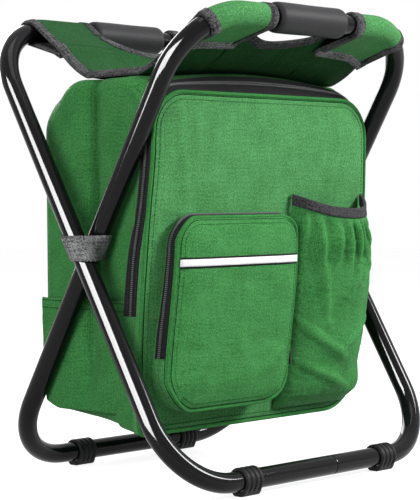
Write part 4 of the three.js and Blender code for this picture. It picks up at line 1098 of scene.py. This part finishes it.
def side_pouch(name, side, node):
    """A flat pouch on the side wall, open above, that runs round the rear edge."""
    yy, vv = np.meshgrid(np.linspace(POUCH_FRONT, POUCH_BACK, 60), np.linspace(0, 1, 44), indexing="ij")
    yy = yy + (5.0 * np.sqrt(np.sin(math.pi * np.clip(vv, 0.02, 0.98))) - 3.0) * ease(40, POUCH_BACK, yy)
    zz = POUCH_LOW + vv * (POUCH_TOP - POUCH_LOW) + 9 * ease(60, POUCH_BACK, yy) * (1 - vv)
    a = np.clip((yy - POUCH_FRONT) / 10, 0, 1)
    out = 1.6 + (2.0 + 3.2 * ease(0.2, 1, vv)) * (1 - (1 - a) ** 2) * ease(0.0, 0.1, vv)
    turn_y = REAR_Y - 4
    x = wall_half(np.minimum(yy, turn_y), zz) + out + 0.7 * ripple(yy, zz, 61, 45) * ease(0, 0.2, vv)
    x = x - 0.22 * np.clip(yy - turn_y, 0, None) ** 1.6
    p = np.stack([side * np.minimum(x, 153.2), yy, zz], -1)
    obj = cloth(name, p, 1.3, GREEN_PAINTED_SHADE, out=side, lining=BLACK)
    place(obj, "bag", "cloth", node)
    hems = []
    for k, dz in enumerate((2.0, 9.0)):
        j = int(np.argmin(np.abs(zz[0] - (POUCH_TOP - dz))))
        line = p[:, j] + np.array([side * 0.7, 0, 0])
        hems.append(studs(f"{name}_stitch{k}", line, [side, 0, 0], 3.4, (2.5, 0.75, 0.5), THREAD_AND_SEAM_SHADE))
    stitches = place(join(f"{name}_stitching", hems), "bag", "cloth")


side_pouch("left_pouch_cloth", -1, "left_side_pouch")
side_pouch("right_pouch_cloth", 1, "right_side_pouch")


def hull(points):
    """Corners of the smallest outline round some points, counter-clockwise."""
    pts = sorted(map(tuple, points))

    def turns_in(a, b, q):
        return (b[0] - a[0]) * (q[1] - a[1]) <= (b[1] - a[1]) * (q[0] - a[0])

    def half(seq):
        out = []
        for q in seq:
            while len(out) > 1 and turns_in(out[-2], out[-1], q):
                out.pop()
            out.append(q)
        return out[:-1]

    return half(pts) + half(pts[::-1])


STRAP_BELOW = 14.0
STRAP_TALL = 23.0


def pivot_strap(name, side, node):
    """Webbing sewn to the bag that runs tightly round both legs where they cross."""
    rows = []
    rx, ry = TUBE_R + 2.0, TUBE_R / math.cos(TILT) + 2.0
    a = np.linspace(0, 2 * math.pi, 40, endpoint=False)
    for z in np.linspace(PIVOT - STRAP_BELOW, PIVOT - STRAP_BELOW + STRAP_TALL, 12):
        lean = (z - PIVOT) * math.tan(TILT)
        up = (z - PIVOT + STRAP_BELOW) / STRAP_TALL
        pts = [(OUTER_HALF + rx * math.cos(t), lean + ry * math.sin(t)) for t in a]
        pts += [(INNER_HALF + rx * math.cos(t), -lean + ry * math.sin(t)) for t in a]
        start, end = ((float(wall_half(y, z)) + 1.0, y) for y in (5.0 - 12.0 * up, 11.0 + 4.0 * up))
        loop = hull(pts + [start, end])
        k = int(np.argmin(np.linalg.norm(np.array(loop) - np.array(start), axis=1)))
        path = np.array(loop[k:] + loop[:k])
        path = path[:int(np.argmin(np.linalg.norm(path - np.array(end), axis=1))) + 1]
        s = run_of(path)
        x, y = sample(np.linspace(0, s[-1], 48), s, path).T
        rows.append(np.stack([side * x, y, np.full(48, z)], 1))
    place(cloth(name, np.array(rows), 1.5, HEATHER, out=-side), "bag", "binding", node)


pivot_strap("left_pivot_webbing", -1, "left_pivot_strap")
pivot_strap("right_pivot_webbing", 1, "right_pivot_strap")

# Sling seat: lean is -1 for its front half and 1 for its rear half
SEAT_Z = PIVOT + 158.2
FLAT_Y = 37.0
SEAT_HALF = 135.0
LOOP_R = 11.0
CUT_X = 1.0
CUT_HALF = 59.5
SEWN_D = 44.0
N_LOOP = 26
FLAT_ROWS = 13
SLOPE_ROWS = 34
HALF_OF = {-1: INNER_HALF, 1: OUTER_HALF}
WORD_OF = {-1: "front", 1: "rear"}
BODY_OF = {-1: "inner_frame", 1: "outer_frame"}
SLING_X = np.concatenate([np.linspace(-SEAT_HALF, CUT_X - CUT_HALF, N_LOOP),
                          CUT_X + np.linspace(-CUT_HALF + 0.01, CUT_HALF - 0.01, 60),
                          np.linspace(CUT_X + CUT_HALF, SEAT_HALF, N_LOOP)])


def bar_at(x, lean):
    """Centre of a top bar at a given x, following the bend, and the bar's direction there."""
    straight = HALF_OF[lean] - BEND_R
    a = math.asin(min(0.95, max(0.0, abs(x) - straight) / BEND_R))
    along = np.array([0, lean * math.sin(TILT), math.cos(TILT)])
    t = np.array([math.cos(a), 0, 0]) - math.copysign(math.sin(a), x) * along
    return on_hoop(x, LEG_UP - BEND_R * (1 - math.cos(a)), lean), t


def flat_rise(x, lean):
    """The front of the flat lies on the bag's padded top, which is highest in the middle."""
    return 6.5 * max(0.0, 1 - (x / 118.0) ** 2) if lean < 0 else 0.0


def on_bar(circle_at, a):
    c, e1, e2 = circle_at
    return c + LOOP_R * (math.cos(a) * e1 + math.sin(a) * e2)


def sling_column(x, lean):
    """The straight run of cloth at one x: its foot, where it meets the bar, and the bar's circle there."""
    c, t = bar_at(x, lean)
    foot = np.array([x, lean * FLAT_Y, SEAT_Z + flat_rise(x, lean)])
    e1 = foot - c
    e1 = e1 - t * np.dot(e1, t)
    dist = np.linalg.norm(e1)
    e1 = e1 / dist
    e2 = np.cross(t, e1)
    if e2[2] < 0:
        e2 = -e2
    touch = math.acos(LOOP_R / dist)
    return foot, on_bar((c, e1, e2), touch), (c, e1, e2), touch


def edge_d(x):
    """How far from the bar the slope ends: at the hand cut-out in the middle, else at the sewn line."""
    q = np.clip(abs(x - CUT_X) / CUT_HALF, 0, 1)
    return 19.0 + 27.0 * (1 - q ** 2.6) if q < 1 else SEWN_D


def sling_at(x, lean):
    """One column of the sling: the flat on the bag, then the slope with a slight belly."""
    foot, over, _, _ = sling_column(x, lean)
    rise = flat_rise(x, lean)
    flat = [(x, lean * y, SEAT_Z + rise * float(ease(4, FLAT_Y, y)))
            for y in np.linspace(0, FLAT_Y - 2, FLAT_ROWS)]
    run = np.linalg.norm(over - foot)
    s = 1 - np.linspace(run - 2, edge_d(x), SLOPE_ROWS) / run
    slope = foot + (over - foot) * s[:, None]
    slope[:, 2] -= 1.2 * np.sin(math.pi * np.clip(s, 0, 1)) * (1 - 0.3 * abs(x) / SEAT_HALF)
    return np.concatenate([flat, slope])


SLING_BEND = {}
for lean in (-1, 1):
    over = sling_column(0.0, lean)[1]
    near = over + (np.array([0, lean * FLAT_Y, SEAT_Z]) - over) * 0.13
    SLING_BEND[lean] = ("bag", BODY_OF[lean], (0, lean * (FLAT_Y + 2), SEAT_Z), tuple(float(c) for c in near))


def make_sling(name, lean, *nodes):
    p = np.array([sling_at(x, lean) for x in SLING_X])
    x, y = p[..., 0].copy(), p[..., 1]
    ahead = np.abs(y)
    far = ease(FLAT_Y, FLAT_Y + 40, ahead) * (1 - ease(84, 96, ahead))
    p[..., 2] += far * (0.9 * ripple(x, y, 71 + lean, 70) + 0.6 * ripple(x * 0.5, y, 75 + lean, 26))
    low = 1 - ease(FLAT_Y, FLAT_Y + 45, ahead)
    p[..., 0] *= 1 + 0.022 * low
    p[..., 2] += 0.8 * ease(120, 136, np.abs(p[..., 0])) * low
    on_bag = 1 - ease(FLAT_Y - 6, FLAT_Y + 8, ahead)
    hold = np.maximum(sewn_edges(*p.shape[:2], first=1, sides=(0, 0, 1, 1)), on_bag)
    p = settle(p, np.maximum(hold, 0.1), gravity=0.25, spare=0.004, cap=2.0, out=lean)
    # Painted shade: the sling's upper side takes a darkened green, its underside a darker one still.
    obj = cloth(name, p, 2.0, SLING_GREEN_PAINTED_SHADE, out=lean, lining=SLING_UNDERSIDE_PAINTED_SHADE, plan=p[..., [0, 1]])
    return p, place(obj, SLING_BEND[lean], "cloth", *nodes)


def edge_wrap(name, line, inward, width):
    """Binding folded over the edge of a cloth: a flat U round it."""
    t = unit(np.gradient(line, axis=0))
    inward = square_to(inward, t)
    up = unit(np.cross(t, inward))
    h, e = 1.9, 1.2
    half = [(width, 0.9), (width, h), (0.5, h), (-e, h * 0.7)]
    prof = np.array(half + [(-e - 0.4, 0)] + [(a, -b) for a, b in half[::-1]])
    p = line[:, None] + inward[:, None] * prof[None, :, :1] + up[:, None] * prof[None, :, 1:]
    return tube(name, p, line, prof, SLING_EDGE, cap=np.zeros((len(prof), 2)))


def make_loop(side, lean, grid):
    """Cloth that goes on from the slope over the bar, back under it and is sewn to the slope's underside."""
    word = f"{WORD_OF[lean]}_{'left' if side < 0 else 'right'}"
    columns = range(N_LOOP) if side < 0 else range(len(SLING_X) - N_LOOP, len(SLING_X))
    rows, hems, downs = [], [], []
    for i in columns:
        _, over, bar, touch = sling_column(SLING_X[i], lean)
        edge = grid[i, -1]
        start = [edge + (over - edge) * k for k in np.linspace(0, 1, 10)[:-1]]
        arc = [on_bar(bar, a) for a in np.linspace(touch, 2 * math.pi - touch, 28)]
        down = unit(np.cross(np.array([lean, 0, 0]), grid[i, -1] - grid[i, -4]))
        down = down if down[2] < 0 else -down
        hem = grid[i, -6] + down * 2.4
        back = [arc[-1] + (hem - arc[-1]) * k for k in np.linspace(0, 1, 12)[1:]]
        rows.append(start + arc + back)
        hems.append(hem + (arc[-1] - hem) * 0.10 + down * 1.0)
        downs.append(down)
    p = np.array(rows)
    centre = np.array([bar_at(SLING_X[i], lean)[0] for i in columns])[:, None]
    out = 1 if ((p - centre) * grid_normals(p))[:, 12:32].sum() > 0 else -1
    # Front loops take the lighter green, with painted sheen; rear loops the darkened one, with painted shade.
    obj = cloth(f"{word}_sling_loop", p, 2.0, GREEN_PAINTED_SHEEN if lean < 0 else SLING_GREEN_PAINTED_SHADE, out=out, lining=BLACK)
    place(obj, SLING_BEND[lean], "cloth", f"{word}_seat_loop")
    inner, outer = (-1, 0) if side < 0 else (0, -1)
    step = {0: p[1] - p[0], -1: p[-2] - p[-1]}
    side_line = np.concatenate([grid[outer], p[outer, 1:]])
    side_step = np.concatenate([np.tile([-0.8 * side, 0, 0.6], (grid.shape[1], 1)), unit(step[outer][1:])])
    trims = [edge_wrap(f"{word}_loop_inner_binding", p[inner, 5:], step[inner][5:], 8.5),
             edge_wrap(f"{word}_sling_side_binding", side_line, side_step, 7.5),
             sweep(f"{word}_loop_webbing", hems, band(11.0, 1.8), HEATHER, downs)]
    for trim in trims:
        place(trim, SLING_BEND[lean], "binding")


for lean, nodes in ((-1, ("seat_front_slope", "seat_center")), (1, ("seat_rear_slope",))):
    grid, sling = make_sling(f"sling_{WORD_OF[lean]}_cloth", lean, *nodes)
    cutout = grid[N_LOOP:-N_LOOP]
    trim = edge_wrap(f"{WORD_OF[lean]}_cutout_binding", cutout[:, -1], cutout[:, -4] - cutout[:, -1], 8.5)
    place(trim, SLING_BEND[lean], "binding")
    for side in (-1, 1):
        make_loop(side, lean, grid)


# Zip sliders and pulls
def lumps(name, boxes, mat, bevel=0.6):
    """Bevelled blocks joined as one small casting."""
    objs = []
    faces = [[0, 1, 3, 2], [4, 6, 7, 5], [0, 4, 5, 1], [2, 3, 7, 6], [0, 2, 6, 4], [1, 5, 7, 3]]
    for k, box in enumerate(boxes):
        xs, ys, zs = zip(*box)
        verts = [(x, y, z) for x in xs for y in ys for z in zs]
        obj = build(f"{name}_{k}", verts, faces, np.zeros((24, 2)), [mat], soft=False)
        mod = obj.modifiers.new("edge", "BEVEL")
        mod.width = bevel * MM
        mod.segments = 2
        with bpy.context.temp_override(active_object=obj, object=obj):
            bpy.ops.object.modifier_apply(modifier="edge")
        objs.append(obj)
    return join(name, objs)


def node_mm(node, shift=0.0):
    return (np.array(corner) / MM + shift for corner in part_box(node))


def onto_tape():
    """How far the main slider stands from its node, to sit on the teeth of the drawn tape."""
    lo, hi = node_mm("main_zip_slider")
    mid = (lo + hi) / 2
    line, _ = rail(ZIP_MID, 1.6)
    right = line[line[:, 0] > 0]
    near = right[np.argmin(np.abs(right[:, 2] - mid[2]))]
    return np.array([near[0] - lo[0], near[1] - mid[1], 0.0])


for zip_name, shift in (("main", onto_tape()), ("pocket", np.zeros(3))):
    (x0, y0, z0), (x1, y1, z1) = node_mm(f"{zip_name}_zip_slider", shift)
    mid = (y0 + y1) / 2
    wide = (y1 - y0) * 0.36
    boxes = [((x0, y0, z0), (x0 + 1.1, y1, z1)),
             ((x0 + 0.8, mid - 1.4, z0 + 2.0), (x1, mid + 1.4, z1 - 2.0)),
             ((x0 + 0.6, mid - wide, z0 + 0.8), (x0 + 1.9, mid + wide, z1 - 0.8))]
    casting = lumps(f"{zip_name}_slider_casting", boxes, STEEL)
    place(casting, f"{zip_name}_slider", "steel", f"{zip_name}_zip_slider")
    (x0, y0, z0), (x1, y1, z1) = node_mm(f"{zip_name}_zip_pull", shift)
    boxes = [((x0, y0 + 0.9, z0 + 8), (x1, y1 - 0.9, z1)), ((x0 - 0.1, y0, z0), (x1 + 0.1, y1, z0 + 14))]
    place(lumps(f"{zip_name}_pull_tab", boxes, NYLON), f"{zip_name}_pull", "steel", f"{zip_name}_zip_pull")


# Stage, light and camera
def seen_directly(tree):
    """1 for rays that come from the camera, also by way of a gloss or through something clear."""
    ray = tree.nodes.new("ShaderNodeLightPath").outputs
    clear = math_node(tree, "MAXIMUM", ray["Is Glossy Ray"], ray["Is Transmission Ray"])
    return math_node(tree, "MAXIMUM", ray["Is Camera Ray"], clear)


BRIGHT = 0.84
DIM = 0.16
scene.view_settings.view_transform = "Standard"
world = bpy.data.worlds.new("studio")
scene.world = world
world.use_nodes = True
tree = world.node_tree
sky = tree.nodes["Background"]
strength = math_node(tree, "ADD", math_node(tree, "MULTIPLY", seen_directly(tree), BRIGHT), DIM)
tree.links.new(strength, sky.inputs["Strength"])
sky.inputs["Color"].default_value = (1, 1, 1, 1)

floor_mesh = bpy.data.meshes.new("floor")
floor_mesh.from_pydata([(-6, -6, 0), (6, -6, 0), (6, 6, 0), (-6, 6, 0)], [], [(0, 1, 2, 3)])
floor = bpy.data.objects.new("floor", floor_mesh)
scene.collection.objects.link(floor)
m, t, b = shader("pale_floor", Roughness=0.9, Base_Color=(0.36, 0.36, 0.36, 1), Emission_Color=(1, 1, 1, 1))
t.links.new(math_node(t, "MULTIPLY", seen_directly(t), BRIGHT), b.inputs["Emission Strength"])
floor_mesh.materials.append(m)


def lamp(name, place_at, aim_z, size, power):
    """A rectangular light that aims at a height on the object's axis."""
    data = bpy.data.lights.new(name, "AREA")
    data.shape = "RECTANGLE"
    data.size, data.size_y = size
    data.energy = power
    obj = bpy.data.objects.new(name, data)
    scene.collection.objects.link(obj)
    obj.location = place_at
    obj.rotation_euler = (Vector((0, 0, aim_z)) - Vector(place_at)).to_track_quat("-Z", "Y").to_euler()
    return obj


lamp("key", (1.25, -1.45, 1.25), 0.28, (0.6, 0.6), 72)
lamp("top", (-0.1, -0.3, 1.8), 0.2, (0.9, 0.9), 8)
lamp("left_fill", (-1.9, -0.6, 1.0), 0.22, (0.8, 1.0), 33)
lamp("back_fill", (0.7, 2.1, 1.0), 0.25, (1.2, 1.2), 34)
strip = lamp("left_strip", (-1.85, -0.05, 0.55), 0.25, (1.5, 1.9), 760)
strip.visible_diffuse = False
tubes = bpy.data.collections.new("painted_tubes")
for obj in hoops:
    tubes.objects.link(obj)
strip.light_linking.receiver_collection = tubes

# The camera as fitted to the hoops in the photo
CAMERA_AT = (-1.26006, -1.19404, 0.27135)
YAW, PITCH, ROLL = (math.radians(v) for v in (46.35, -1.72, -0.43))
camera_data = bpy.data.cameras.new("camera")
camera_data.sensor_width = 36
camera_data.lens = 125.28
camera = bpy.data.objects.new("camera", camera_data)
scene.collection.objects.link(camera)
forward = Vector((math.sin(YAW) * math.cos(PITCH), math.cos(YAW) * math.cos(PITCH), math.sin(PITCH)))
level = Vector((math.cos(YAW), -math.sin(YAW), 0))
right = math.cos(ROLL) * level + math.sin(ROLL) * level.cross(forward)
turn = Matrix((right, right.cross(forward), -forward)).transposed().to_4x4()
camera.matrix_world = Matrix.Translation(CAMERA_AT) @ turn
scene.camera = camera
